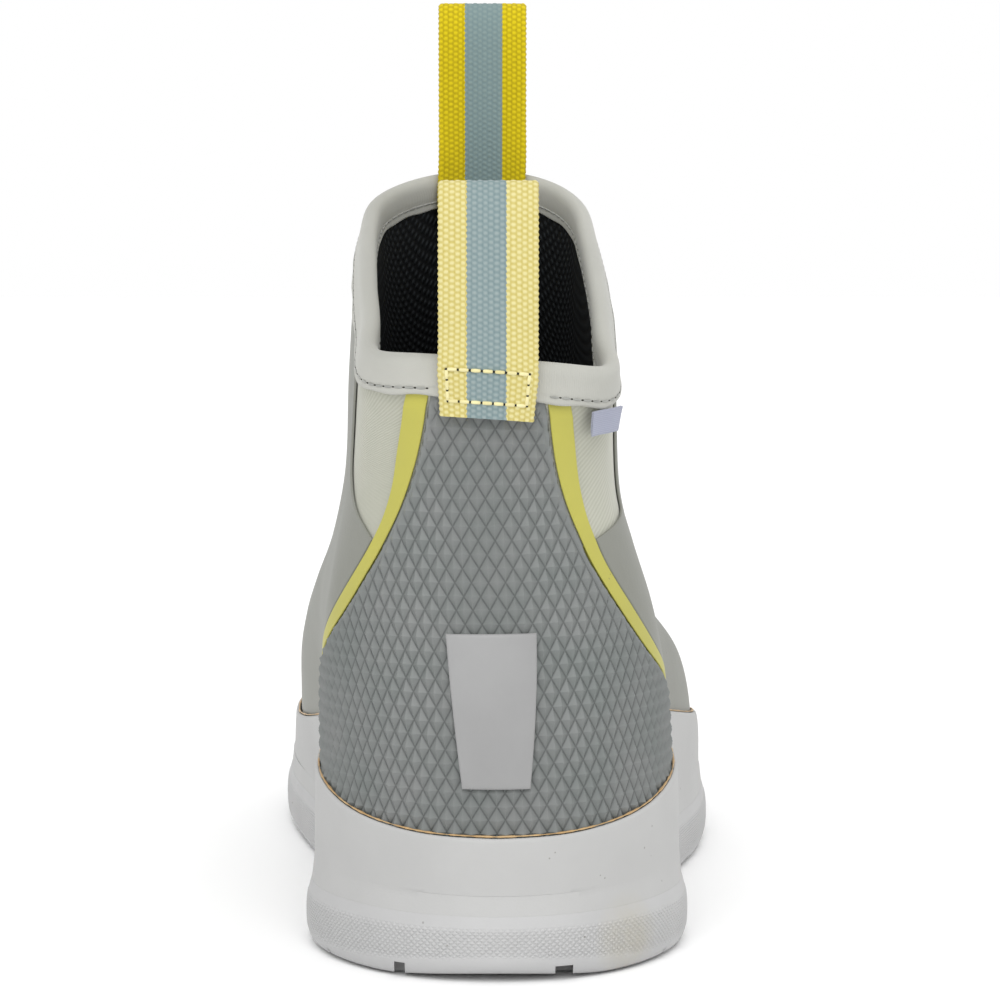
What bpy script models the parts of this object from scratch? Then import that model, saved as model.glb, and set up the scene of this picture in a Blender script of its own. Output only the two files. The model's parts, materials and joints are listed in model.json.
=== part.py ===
"""Ankle-height deck boot, right foot: toe along +Y, outer side along +X, ground at z = 0."""
import math

import bpy
import bmesh
import numpy as np

for old in list(bpy.data.objects):
    bpy.data.objects.remove(old, do_unlink=True)

MM = 0.001

# Driving dimensions, mm and degrees.
AROUND = 60  # points round the boot
SHELL_IN, SHELL_OUT = 2.15, 3.3  # rubber shell, measured out from the last
BOOTIE_OUT = 1.1
LINING_OUT, LINING_THICK = -0.6, 0.9
STIFFENER_SINK = 1.3  # how far the lining gives way behind the heel counter and toe puff
RUBBER_TOP_S = 3.0  # the rubber ends this far below the topline, under the binding
FLAP_S = 4.7  # the binding's lower edge
HEM_S = 4.5  # its hem on the inside
SEAM = 0.22  # half the joint between two neighbouring panels
WEB_WIDE, WEB_THICK = 22.0, 1.4
TAIL_OUT = 4.6  # near face of the outer tails, clear of the binding stitch
TAIL_IN = 2.8  # near face of the inner tails, inside the last
BOX_TOP, BOX_LOW = -2.1, 4.9  # rows of the box stitch
REAR_LOOP_TALL, FRONT_LOOP_TALL = 39.4, 42.3
LOOP_START = 4.5
LOOP_HALF_GAP = 4.05
LABEL_WIDE, LABEL_TALL, LABEL_THICK = 12.5, 5.8, 0.5
LABEL_FROM, LABEL_TO = 30.0, 43.0  # degrees round from the back
LABEL_DROP = 0.3  # from the binding's lower edge down to the label
LABEL_OUT, LABEL_LOW_OUT = 5.0, 5.3  # how far out its top and bottom edges hang
FLARE = 1.8  # how far the sole stands out further beside the ball of the foot

# Rings of the last: share of the way up, back (y, z) and front (y, z).
RINGS = (
    (0.00, -145.0, 18.5, 143.0, 25.4),
    (0.12, -148.0, 33.0, 145.5, 40.0),
    (0.25, -149.3, 49.0, 137.5, 55.5),
    (0.38, -148.0, 65.0, 109.0, 66.0),
    (0.50, -144.5, 80.0, 70.0, 74.5),
    (0.62, -141.2, 94.0, 31.0, 89.5),
    (0.74, -139.3, 107.5, 2.0, 112.0),
    (0.87, -139.8, 121.0, -17.5, 144.0),
    (1.00, -142.0, 133.6, -32.0, 178.5),
)
STATIONS = (0.0, 0.12, 0.25, 0.40, 0.55, 0.70, 0.85, 1.0)  # back to front along a ring
REACH = (  # sideways reach of each ring at each station
    (65.0, 56.0, 41.2, 38.3, 45.7, 54.5, 62.0, 66.0),
    (65.0, 55.8, 42.0, 40.3, 48.7, 55.6, 63.0, 66.0),
    (63.0, 55.0, 42.6, 40.3, 48.0, 51.3, 54.5, 57.0),
    (59.0, 53.2, 42.0, 39.2, 42.8, 43.8, 44.0, 46.0),
    (53.0, 49.6, 39.8, 35.9, 37.0, 38.0, 37.8, 41.0),
    (45.5, 43.6, 36.3, 32.5, 32.3, 32.8, 33.6, 35.5),
    (39.5, 37.5, 32.6, 30.0, 29.8, 29.8, 31.2, 32.5),
    (40.0, 37.0, 31.0, 28.9, 28.4, 29.2, 31.4, 33.0),
    (46.0, 39.5, 30.5, 27.4, 26.9, 28.6, 32.9, 36.0),
)
LEAN = (  # where the middle of each ring lies at each station
    (0.0, 0.0, 0.8, 2.2, 2.5, 0.0, -5.0, -9.0),
    (0.0, 0.0, 0.5, 1.2, 1.2, -1.0, -5.0, -9.0),
    (-0.3, -0.3, -0.3, -0.5, -1.0, -3.0, -6.0, -9.0),
    (-0.8, -0.8, -1.2, -2.6, -4.2, -5.8, -7.6, -8.8),
    (-1.5, -1.6, -2.2, -4.7, -6.2, -7.0, -7.4, -7.6),
    (-2.2, -2.5, -3.0, -4.4, -5.2, -5.6, -5.8, -6.0),
    (-2.6, -3.0, -3.4, -3.5, -3.7, -4.0, -4.6, -5.0),
    (-2.3, -2.4, -2.8, -3.3, -3.9, -4.2, -4.2, -3.8),
    (-2.0, -1.6, -2.2, -3.0, -3.8, -4.4, -4.4, -3.4),
)
# How far the topline dips behind the ankle bones, at each station, and more on the outer side.
DIP_V = (0.0, 0.74, 0.87, 1.0)
DIP = (
    (0.0, 0.0, 0.0, 0.0, 0.0, 0.0, 0.0, 0.0),
    (0.0, 0.0, 0.0, 0.0, 0.0, 0.0, 0.0, 0.0),
    (0.0, 1.8, 1.5, 0.5, 0.1, 0.0, 0.0, 0.0),
    (0.0, 5.2, 4.2, 1.5, 0.3, 0.0, 0.0, 0.0),
)
TILT = (0.0, 0.0, 1.4, 3.2)
# Panel edges: share of the way up, then degrees round from the back.
EDGE_V = (0.0, 0.20, 0.34, 0.42, 0.50, 0.58, 0.66, 0.74, 0.83, 1.0)
HEEL_MEDIAL = (72.0, 66.0, 55.0, 45.0, 36.5, 31.0, 26.5, 23.1, 19.8, 14.9)
STRIPE_MEDIAL = (75.0, 69.0, 58.5, 49.5, 41.5, 35.5, 31.0, 29.0, 27.6, 22.6)
HEEL_LATERAL = (68.0, 60.0, 47.0, 37.5, 31.5, 27.5, 25.0, 22.9, 20.1, 15.3)
STRIPE_LATERAL = (71.0, 63.5, 51.0, 42.0, 36.0, 32.0, 30.3, 30.0, 28.3, 23.1)
# Edge of the stretch gore left open in the shell on each side of the ankle.
GORE_V = (0.635, 0.66, 0.69, 0.73, 0.78, 0.87, 1.0)
GORE_MEDIAL = (31.5, 36.0, 42.0, 49.0, 56.0, 62.0, 63.0)
GORE_LATERAL = (30.0, 41.0, 54.0, 62.0, 67.0, 70.0, 71.0)
# Top edge of the midsole wall: degrees round from the back, height.
WALL_A = (0.0, 15.0, 30.0, 45.0, 60.0, 75.0, 95.0, 115.0, 140.0, 180.0)
WALL_Z = (32.8, 33.4, 36.0, 41.0, 45.0, 44.5, 37.5, 32.0, 30.5, 31.0)
LEVELS = (0.0, 0.12, 0.18, 0.25, 0.315, 0.38, 0.44, 0.50, 0.56, 0.62, 0.68, 0.74, 0.81, 0.87,
          0.93)


def weights(knots, x):
    """How much each knot counts in a smooth curve at x."""
    knots = np.asarray(knots, float)
    x = np.clip(np.atleast_1d(np.asarray(x, float)), knots[0], knots[-1])
    n = len(knots)
    i = np.clip(np.searchsorted(knots, x) - 1, 0, n - 2)
    h = (knots[i + 1] - knots[i])[:, None]
    u = (x - knots[i])[:, None] / h
    eye = np.eye(n)
    slope = np.zeros((n, n))
    for k in range(n):
        lo = max(k - 1, 0)
        hi = min(k + 1, n - 1)
        slope[k, hi] += 1 / (knots[hi] - knots[lo])
        slope[k, lo] -= 1 / (knots[hi] - knots[lo])
    return ((2 * u ** 3 - 3 * u ** 2 + 1) * eye[i] + (u ** 3 - 2 * u ** 2 + u) * h * slope[i]
            + (3 * u ** 2 - 2 * u ** 3) * eye[i + 1] + (u ** 3 - u ** 2) * h * slope[i + 1])


def curve(knots, values, x):
    return weights(knots, x) @ np.asarray(values, float)


def spring(y):
    """Toe spring: how far the sole curves up from the ground."""
    return 8.0 * np.clip((y - 55.0) / 95.0, 0.0, 1.0) ** 2


def last(theta, v):
    """Points of the last for angles theta and shares v, as an array of x, y, z."""
    theta, v = np.broadcast_arrays(np.asarray(theta, float), np.asarray(v, float))
    shape = theta.shape
    theta, v = theta.ravel(), v.ravel()
    wv = weights([r[0] for r in RINGS], v)
    ry, rz, fy, fz = (wv @ np.array([r[k] for r in RINGS]) for k in (1, 2, 3, 4))
    a = np.radians(theta)
    t = (1 - np.cos(a)) / 2
    wt = weights(STATIONS, t)
    reach = np.einsum("nk,kj,nj->n", wv, np.array(REACH), wt)
    lean = np.einsum("nk,kj,nj->n", wv, np.array(LEAN), wt)
    y = ry + (fy - ry) * t
    z = rz + (fz - rz) * t + (spring(y) - t * spring(fy)) * np.maximum(0.0, 1 - v / 0.5) ** 2
    wd = weights(DIP_V, v)
    z = z - np.einsum("nk,kj,nj->n", wd, np.array(DIP), wt) - wd @ np.array(TILT) * np.sin(a) * (1 - t)
    return np.stack((np.sin(a) * reach + lean, y, z), -1).reshape(shape + (3,))


def normal(theta, v):
    theta, v = np.broadcast_arrays(np.asarray(theta, float), np.asarray(v, float))
    along = last(theta + 0.5, v) - last(theta - 0.5, v)
    up = last(theta, np.minimum(v + 0.004, 1)) - last(theta, np.maximum(v - 0.004, 0))
    n = np.cross(along, up)
    return n / np.linalg.norm(n, axis=-1, keepdims=True)


def skin(theta, v, off):
    off = np.asarray(off, float)
    return last(theta, v) + normal(theta, v) * off[..., None]


def share_at(theta, s):
    """The share v that lies s mm below the topline."""
    theta = np.asarray(theta, float)
    rate = np.linalg.norm(last(theta, 0.99) - last(theta, 0.94), axis=-1) / 0.05
    return 1 - np.asarray(s, float) / rate


def rim(theta, off, s):
    """A point off mm out from the topline and s mm below it; above it when s is negative."""
    theta = np.asarray(theta, float)
    base = skin(theta, share_at(theta, max(s, 0.0)), np.full(theta.shape, float(off)))
    up = last(theta, np.full(theta.shape, 1.0)) - last(theta, np.full(theta.shape, 0.97))
    up = up / np.linalg.norm(up, axis=-1, keepdims=True)
    return base + up * max(-s, 0.0)


def flare(theta, off):
    """How much further the outside of the sole stands out beside the ball of the foot."""
    side = np.minimum(theta % 360, 360 - theta % 360)
    return FLARE * np.clip(1 - ((side - 118.0) / 38.0) ** 2, 0, 1) * np.clip((off - 3.9) / 1.5, 0, 1)


def outline(theta, off, z, bevel=False):
    """A ring of the sole, off mm outside the last's lower edge, z above the ground line."""
    off = (off + flare(theta, off))[:, None]
    p = last(theta, np.zeros_like(theta))
    n = normal(theta, np.full_like(theta, 0.01))
    n[..., 2] = 0
    n = n / np.linalg.norm(n, axis=-1, keepdims=True)
    q = p + n * off
    q[..., 2] = z + spring(q[..., 1])
    if bevel:
        q[..., 2] += 2.5 * np.clip((-138.0 - q[..., 1]) / 14.0, 0.0, 1.0) ** 2
    return q


def material(name, colour, rough):
    m = bpy.data.materials.new(name)
    m.use_nodes = True
    s = m.node_tree.nodes["Principled BSDF"]
    s.inputs["Base Color"].default_value = (*colour, 1.0)
    s.inputs["Roughness"].default_value = rough
    return m


def solid(name, points, faces, colour, rough):
    """One closed body from points in mm."""
    mesh = bpy.data.meshes.new(name)
    bm = bmesh.new()
    verts = [bm.verts.new([c * MM for c in p]) for p in points]
    for f in faces:
        bm.faces.new([verts[i] for i in f])
    bmesh.ops.recalc_face_normals(bm, faces=bm.faces)
    bm.to_mesh(mesh)
    bm.free()
    o = bpy.data.objects.new(name, mesh)
    bpy.context.scene.collection.objects.link(o)
    o.data.materials.append(material(name + "_mat", colour, rough))
    return o


def cap(start, n):
    """Faces straight across a ring from side to side."""
    out = [(start, start + 1, start + n - 1)]
    for i in range(1, n // 2 - 1):
        out.append((start + i, start + i + 1, start + n - i - 1, start + n - i))
    k = n // 2
    out.append((start + k - 1, start + k, start + k + 1))
    return out


def loft(name, rings, colour, rough, closed=False):
    """A body through rings: capped at both ends, or joined end to start."""
    n = len(rings[0])
    points = [tuple(p) for r in rings for p in r]
    faces = []
    count = len(rings)
    for j in range(count if closed else count - 1):
        a, b = j * n, ((j + 1) % count) * n
        for i in range(n):
            k = (i + 1) % n
            faces.append((a + i, a + k, b + k, b + i))
    if not closed:
        faces += cap(0, n)
        faces += cap((count - 1) * n, n)
    return solid(name, points, faces, colour, rough)


def slab(name, outer, inner, colour, rough):
    """A body between two grids of points of the same shape."""
    rows, cols = outer.shape[:2]
    points = [tuple(p) for p in outer.reshape(-1, 3)] + [tuple(p) for p in inner.reshape(-1, 3)]
    under = rows * cols
    faces = []
    for j in range(rows - 1):
        for i in range(cols - 1):
            a = j * cols + i
            q = (a, a + 1, a + cols + 1, a + cols)
            faces.append(q)
            faces.append(tuple(under + k for k in reversed(q)))
    edge = [i for i in range(cols)] + [j * cols + cols - 1 for j in range(1, rows)]
    edge += [(rows - 1) * cols + i for i in range(cols - 2, -1, -1)]
    edge += [j * cols for j in range(rows - 2, 0, -1)]
    for a, b in zip(edge, edge[1:] + edge[:1]):
        faces.append((a, under + a, under + b, b))
    return solid(name, points, faces, colour, rough)


THETA = np.linspace(0.0, 360.0, AROUND, endpoint=False)


def wall_share(theta):
    """The share v where the midsole wall ends at each angle."""
    side = np.minimum(theta % 360, 360 - theta % 360)
    want = curve(WALL_A, WALL_Z, side)
    lo = np.zeros_like(theta)
    hi = np.full_like(theta, 0.4)
    for _ in range(30):
        mid = (lo + hi) / 2
        p = last(theta, mid)
        high = p[..., 2] > want + spring(p[..., 1])
        hi = np.where(high, mid, hi)
        lo = np.where(high, lo, mid)
    return lo


def tread_cutter():
    """Zigzag grooves under the sole."""
    bm = bmesh.new()
    half = 0.8
    for k in range(-10, 11):
        y0 = 6.5 + 13.0 * k
        if y0 < -136 or y0 > 136:
            continue
        xs = np.array((-75.0, -50.0, -25.0, 0.0, 25.0, 50.0, 75.0))
        ys = y0 + np.array((0.0, 6.0, 0.0, 6.0, 0.0, 6.0, 0.0)) - 3.0
        top = 1.7 + float(spring(np.array(y0)))
        low = -3.0
        loops = []
        for z in (low, top):
            for side in (-half, half):
                loops.append([bm.verts.new((x * MM, (y + side) * MM, z * MM)) for x, y in zip(xs, ys)])
        a, b, c, d = loops
        for i in range(len(xs) - 1):
            bm.faces.new((a[i], b[i], b[i + 1], a[i + 1]))
            bm.faces.new((c[i], c[i + 1], d[i + 1], d[i]))
            bm.faces.new((a[i], a[i + 1], c[i + 1], c[i]))
            bm.faces.new((b[i], d[i], d[i + 1], b[i + 1]))
        bm.faces.new((a[0], c[0], d[0], b[0]))
        bm.faces.new((a[-1], b[-1], d[-1], c[-1]))
    bmesh.ops.recalc_face_normals(bm, faces=bm.faces)
    mesh = bpy.data.meshes.new("tread_cutter")
    bm.to_mesh(mesh)
    bm.free()
    o = bpy.data.objects.new("tread_cutter", mesh)
    bpy.context.scene.collection.objects.link(o)
    o.hide_render = True
    o.display_type = "WIRE"
    return o


def make_outsole():
    t = THETA
    rings = [outline(t, 3.2, 5.2), outline(t, 3.2, 13.9), outline(t, 6.0, 14.2), outline(t, 6.9, 11.0)]
    rings += [outline(t, 7.2, 7.3), outline(t, 6.9, 3.0, True), outline(t, 5.9, 0.9, True)]
    rings += [outline(t, 4.0, 0.0, True)]
    o = loft("outsole", rings, (0.52, 0.52, 0.50), 0.6)
    cut = o.modifiers.new("tread", "BOOLEAN")
    cut.operation = "DIFFERENCE"
    cut.solver = "EXACT"
    cut.object = tread_cutter()


def make_midsole():
    t = THETA
    top = wall_share(t)
    rings = [outline(t, 3.9, 16.6)]
    for f in (0.12, 0.4, 0.7, 1.0):
        rings.append(skin(t, top * f, np.full_like(t, 3.75)))
    for f, off in ((1.0, 4.9), (0.7, 5.1), (0.4, 5.35)):
        rings.append(skin(t, top * f, off + flare(t, 6.0) * (1 - f)))
    rings += [outline(t, 5.6, 18.0), outline(t, 6.0, 14.5), outline(t, 2.9, 14.5), outline(t, 2.9, 5.5)]
    loft("midsole", rings, (0.56, 0.56, 0.54), 0.65)


def make_cement():
    t = THETA
    top = wall_share(t)
    rate = np.linalg.norm(last(t, top + 0.02) - last(t, top), axis=-1) / 0.02
    rings = []
    for s, off in ((0.4, 3.75), (0.4, 4.4), (1.0, 4.2), (1.0, 3.75)):
        rings.append(skin(t, top + s / rate, np.full_like(t, off)))
    loft("cement_line", rings, (0.55, 0.34, 0.16), 0.5, closed=True)


def make_strobel():
    t = THETA
    loft("strobel_board", [outline(t, 1.2, 17.0), outline(t, 1.2, 18.1)], (0.62, 0.55, 0.42), 0.9)


def make_footbed():
    t = THETA
    foam = [skin(t, np.full_like(t, v), np.full_like(t, -3.8)) for v in (0.012, 0.05)]
    loft("footbed_foam", foam, (0.10, 0.10, 0.11), 0.9)
    cover = [skin(t, np.full_like(t, v), np.full_like(t, -3.8)) for v in (0.053, 0.062)]
    loft("footbed_cover", cover, (0.03, 0.03, 0.035), 0.95)


def sink(theta, v):
    """How far the lining sits back to make room for the stiffeners."""
    side = np.minimum(theta % 360, 360 - theta % 360)
    heel = np.clip((74.0 - side) / 12.0, 0, 1) * np.clip((0.56 - v) / 0.06, 0, 1)
    toe = np.clip((side - 122.0) / 12.0, 0, 1) * np.clip((0.44 - v) / 0.06, 0, 1)
    return STIFFENER_SINK * np.maximum(heel, toe)


def make_lining():
    t = THETA
    levels = [np.full_like(t, v) for v in LEVELS] + [share_at(t, 1.0)]
    rings = [skin(t, v, LINING_OUT - sink(t, v)) for v in levels]
    for v in reversed([np.full_like(t, 0.008)] + levels[1:]):
        rings.append(skin(t, v, LINING_OUT - LINING_THICK - sink(t, v)))
    loft("lining", rings, (0.012, 0.013, 0.014), 0.95)


def make_bootie():
    t = THETA
    levels = [np.full_like(t, v) for v in LEVELS] + [share_at(t, 0.6)]
    rings = [skin(t, v, np.full_like(t, BOOTIE_OUT)) for v in levels]
    rings += [skin(t, v, np.zeros_like(t)) for v in reversed(levels)]
    loft("neoprene_bootie", rings, (0.45, 0.44, 0.38), 0.85, closed=True)


def stiffener(name, mid, half, levels, colour):
    a = np.linspace(mid - half, mid + half, int(round(half / 3.0)) + 1)
    t, v = np.meshgrid(a, np.array(levels))
    slab(name, skin(t, v, np.full_like(t, -0.5)), skin(t, v, np.full_like(t, -1.4)), colour, 0.8)


def seam_angle(theta, v):
    """The angle that half a joint takes up at this place."""
    span = np.linalg.norm(last(theta + 0.5, v) - last(theta - 0.5, v), axis=-1)
    return SEAM / span


def rubber_grid(start, end, cols):
    """Angles and shares over a rubber panel, from the sole to just under the binding."""
    share = np.linspace(0.0, 1.0, cols)
    rows_t, rows_v = [], []
    levels = [v for v in LEVELS if v < 0.9] + [None]
    for v in levels:
        flat = np.full(cols, 0.97 if v is None else v)
        a, b = start(flat[:1])[0], end(flat[:1])[0]
        t = a + (b - a) * share
        if v is None:
            flat = share_at(t, RUBBER_TOP_S)
        rows_t.append(t)
        rows_v.append(flat)
    return np.array(rows_t), np.array(rows_v)


def thickness(t, v):
    """The outside of the rubber, thinned to pass under the binding."""
    rate = np.linalg.norm(last(t, 0.99) - last(t, 0.94), axis=-1) / 0.05
    s = (1 - v) * rate
    return SHELL_OUT - 0.65 * np.clip((7.0 - s) / 3.0, 0, 1)


def panel(name, start, end, cols, colour, rough):
    t, v = rubber_grid(start, end, cols)
    slab(name, skin(t, v, thickness(t, v)), skin(t, v, np.full_like(t, SHELL_IN)), colour, rough)


def edge(values, sign, step):
    """The edge of a panel, pulled back by half a joint."""
    def at(v):
        t = sign * curve(EDGE_V, values, v)
        return t + step * seam_angle(t, v)
    return at


def make_panels():
    panel("heel_panel", edge(HEEL_MEDIAL, -1, 1), edge(HEEL_LATERAL, 1, -1), 25, (0.20, 0.21, 0.21), 0.6)
    yellow = (0.53, 0.50, 0.14)
    panel("lateral_stripe", edge(HEEL_LATERAL, 1, 1), edge(STRIPE_LATERAL, 1, -1), 3, yellow, 0.55)
    panel("medial_stripe", edge(STRIPE_MEDIAL, -1, 1), edge(HEEL_MEDIAL, -1, -1), 3, yellow, 0.55)


def make_shell():
    """The moulded upper, with a gore left open on each side of the ankle."""
    def side(stripe, gore, sign):
        def at(v):
            t = curve(EDGE_V, stripe, v)
            g = curve(GORE_V, gore, np.maximum(v, GORE_V[0]))
            t = np.where(v > GORE_V[0], np.maximum(t, g), t)
            return sign * (t + seam_angle(t, v))
        return at
    lateral = side(STRIPE_LATERAL, GORE_LATERAL, 1)
    medial = side(STRIPE_MEDIAL, GORE_MEDIAL, -1)
    cols = 41
    share = np.linspace(0.0, 1.0, cols)
    levels = [v for v in LEVELS if v <= 0.62] + [0.64, 0.66, 0.68, 0.71, 0.74, 0.81, 0.87, None]
    rows_t, rows_v = [], []
    for v in levels:
        at = np.array([0.97 if v is None else v])
        a, b = lateral(at)[0], 360.0 + medial(at)[0]
        t = a + (b - a) * share
        rows_t.append(t)
        rows_v.append(share_at(t, RUBBER_TOP_S) if v is None else np.full(cols, v))
    t, v = np.array(rows_t), np.array(rows_v)
    outer = skin(t, v, thickness(t, v))
    slab("vamp_shell", outer, skin(t, v, np.full_like(t, SHELL_IN)), (0.32, 0.33, 0.30), 0.55)


def make_kick_plate():
    v = np.array((0.205, 0.25, 0.315, 0.38, 0.44, 0.468))
    low = np.array((-5.9, -2.95, 0.0, 2.95, 5.9))
    high = np.array((-9.2, -4.6, 0.0, 4.6, 9.2))
    f = ((v - v[0]) / (v[-1] - v[0]))[:, None]
    t = low[None, :] + (high - low)[None, :] * f
    vv = np.repeat(v[:, None], 5, 1)
    face, back = skin(t, vv, np.full_like(t, 4.7)), skin(t, vv, np.full_like(t, 3.7))
    slab("kick_plate", face, back, (0.42, 0.42, 0.41), 0.5)


def make_toe_bumper():
    a = np.linspace(132.0, 228.0, 23)
    t, f = np.meshgrid(a, np.array((0.0, 0.5, 1.0)))
    low = wall_share(t.ravel()).reshape(t.shape) + 0.02
    v = low + (0.24 - low) * f * (1 - 0.7 * (np.abs(t - 180.0) / 48.0) ** 3)
    face, back = skin(t, v, np.full_like(t, 5.0)), skin(t, v, np.full_like(t, 3.85))
    slab("toe_bumper", face, back, (0.24, 0.25, 0.25), 0.7)


def make_collar():
    t = THETA
    turn = [k * math.pi / 4 for k in range(8)]
    section = [(0.2 + 1.6 * math.cos(k), -1.9 - 1.4 * math.sin(k)) for k in turn]
    loft("collar_foam", [rim(t, o, s) for o, s in section], (0.30, 0.28, 0.20), 0.95, closed=True)
    outer = [(3.85, FLAP_S), (3.75, 3.0), (3.0, 0.0), (2.75, -1.9), (1.9, -3.9), (0.2, -4.6), (-1.5, -3.9)]
    outer += [(-2.35, -1.9), (-2.45, 0.0), (-2.45, 3.0), (-2.4, HEM_S)]
    inner = [(-1.8, HEM_S), (-1.8, 3.0), (-1.8, 0.0), (-1.7, -1.9), (-1.1, -3.2), (0.2, -3.75), (1.5, -3.2)]
    inner += [(2.1, -1.9), (2.1, 0.0), (3.05, 3.0), (3.15, FLAP_S)]
    rings = [rim(t, o, s) for o, s in outer + inner]
    loft("collar_binding", rings, (0.52, 0.53, 0.50), 0.8, closed=True)
    r = 0.26
    thread = [rim(t, 4.1 + r * x, 3.0 + r * y) for x, y in ((1, 0), (0, 1), (-1, 0), (0, -1))]
    loft("collar_stitch", thread, (0.60, 0.60, 0.55), 0.7, closed=True)


def half_angle(off, mid):
    """The angle that half the webbing covers at this offset."""
    h = np.linspace(5.0, 30.0, 51)
    wide = np.abs(rim(mid + h, off, 0.0) - rim(mid - h, off, 0.0))[:, 0]
    return float(np.interp(WEB_WIDE, wide, h))


def make_tails(name, mid):
    for part, near, way, top in (("outer", TAIL_OUT, 1, -2.5), ("inner", -TAIL_IN, -1, -0.8)):
        far = near + way * WEB_THICK
        a = half_angle((near + far) / 2, mid)
        t = np.linspace(mid - a, mid + a, 9)
        rows = (top, 0.5, 3.0, 6.0, 8.6)
        out = np.array([rim(t, far, s) for s in rows])
        back = np.array([rim(t, near, s) for s in rows])
        slab(name + "_" + part + "_tail", out, back, (0.55, 0.50, 0.12), 0.85)


def make_stitch(name, mid):
    """The box of thread that holds the loop to the collar."""
    a = half_angle(5.5, mid) * 0.82
    tall = BOX_LOW - BOX_TOP
    path = [(mid - a + 2 * a * k / 8, BOX_TOP) for k in range(8)]
    path += [(mid + a, BOX_TOP + tall * k / 4) for k in range(4)]
    path += [(mid + a - 2 * a * k / 8, BOX_LOW) for k in range(8)]
    path += [(mid - a, BOX_LOW - tall * k / 4) for k in range(4)]
    off = TAIL_OUT + WEB_THICK + 0.4
    mids = np.array([rim(np.array([t]), off, s)[0] for t, s in path])
    out = np.array([rim(np.array([t]), off + 1.0, s)[0] for t, s in path]) - mids
    out = out / np.linalg.norm(out, axis=-1, keepdims=True)
    along = np.roll(mids, -1, 0) - np.roll(mids, 1, 0)
    side = np.cross(out, along)
    side = side / np.linalg.norm(side, axis=-1, keepdims=True)
    r = 0.27
    rings = [mids + out * r * c + side * r * s for c, s in ((1, 0), (0, 1), (-1, 0), (0, -1))]
    loft(name + "_stitch", rings, (0.62, 0.60, 0.52), 0.7, closed=True)


def loop_axis(mid):
    """Where the loop bends: the middle of the webbing, just above the rim."""
    outer = rim(np.array([mid]), TAIL_OUT + WEB_THICK / 2, -3.6)[0]
    inner = rim(np.array([mid]), -2.7 - WEB_THICK / 2, -3.6)[0]
    return (outer + inner) / 2


def make_loop(name, mid, tall, lean):
    """The free part of a pull loop: webbing folded over, open from side to side."""
    axis = loop_axis(mid)
    tail = TAIL_OUT + WEB_THICK / 2
    spread = np.array([mid, mid + half_angle(tail, mid)])
    ends = rim(spread, tail, 0.0)
    hollow = abs(ends[1, 1] - ends[0, 1])  # the curve that the tail gives to the foot of the loop
    sign = -1.0 if mid == 0 else 1.0
    up = np.array((0.0, math.sin(math.radians(lean)), math.cos(math.radians(lean))))
    out = np.array((0.0, sign * up[2], -sign * up[1]))
    g = LOOP_HALF_GAP
    line = [(g, LOOP_START), (g + 0.3, 12.0), (g + 0.3, 20.0), (g, tall - 10.5)]
    line += [(g * 0.82, tall - 5.5), (g * 0.45, tall - 2.0), (0.0, tall - WEB_THICK / 2)]
    line += [(-e, h) for e, h in reversed(line[:-1])]
    line = np.array(line)
    d = np.gradient(line, axis=0)
    d = d / np.linalg.norm(d, axis=1, keepdims=True)
    across = np.stack((-d[:, 1], d[:, 0]), 1)
    xs = np.linspace(-WEB_WIDE / 2, WEB_WIDE / 2, 5)
    grids = []
    for k in (-WEB_THICK / 2, WEB_THICK / 2):
        side = line + across * k
        rows = []
        for e, h in side:
            bow = hollow * max(0.0, 1 - (h - LOOP_START) / 16.0) ** 2
            bows = bow * (2 * xs / WEB_WIDE) ** 2
            rows.append([out * (e - b) + up * h + np.array((x, 0, 0)) for x, b in zip(xs, bows)])
        grids.append(np.array(rows))
    o = slab(name, grids[0], grids[1], (0.55, 0.50, 0.12), 0.85)
    o.location = [c * MM for c in axis]


def label_frame():
    """Where the label hangs: the middle of its top edge, its line, and the way down."""
    top = FLAP_S + LABEL_DROP
    ends = rim(np.array([LABEL_FROM, LABEL_TO]), LABEL_OUT, top)
    low = rim(np.array([LABEL_FROM, LABEL_TO]), LABEL_LOW_OUT, top + LABEL_TALL)
    mid = (ends[0] + ends[1]) / 2
    along = ends[1] - ends[0]
    along = along / np.linalg.norm(along)
    down = (low[0] + low[1]) / 2 - mid
    down = down - along * (down @ along)
    return mid, along, down / np.linalg.norm(down)


def make_label():
    """A folded cloth tab hanging below the binding on the outer side of the heel."""
    mid, along, down = label_frame()
    out = np.cross(along, -down)
    h, w, k = LABEL_TALL, LABEL_WIDE / 2, LABEL_THICK / 2
    rows = []
    for side in (k, -k):
        grid = [[along * x + down * y + out * side for x in (-w, w)] for y in (0.0, h)]
        rows.append(np.array(grid))
    o = slab("side_label", rows[0], rows[1], (0.36, 0.38, 0.43), 0.8)
    o.location = [c * MM for c in mid]


make_outsole()
make_midsole()
make_cement()
make_strobel()
make_footbed()
make_lining()
make_bootie()
stiffener("heel_counter", 0.0, 54.0, (0.03, 0.12, 0.18, 0.25, 0.315, 0.38, 0.44), (0.50, 0.47, 0.40))
stiffener("toe_puff", 180.0, 42.0, (0.03, 0.12, 0.18, 0.25, 0.315), (0.50, 0.47, 0.40))
make_panels()
make_shell()
make_kick_plate()
make_toe_bumper()
make_collar()
make_tails("rear_loop", 0.0)
make_tails("front_loop", 180.0)
make_stitch("rear_loop", 0.0)
make_stitch("front_loop", 180.0)
make_loop("rear_pull_loop", 0.0, REAR_LOOP_TALL, 0.0)
make_loop("front_pull_loop", 180.0, FRONT_LOOP_TALL, -8.0)
make_label()
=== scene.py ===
import json
import math

import bpy
import numpy as np
from mathutils import Matrix


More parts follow.
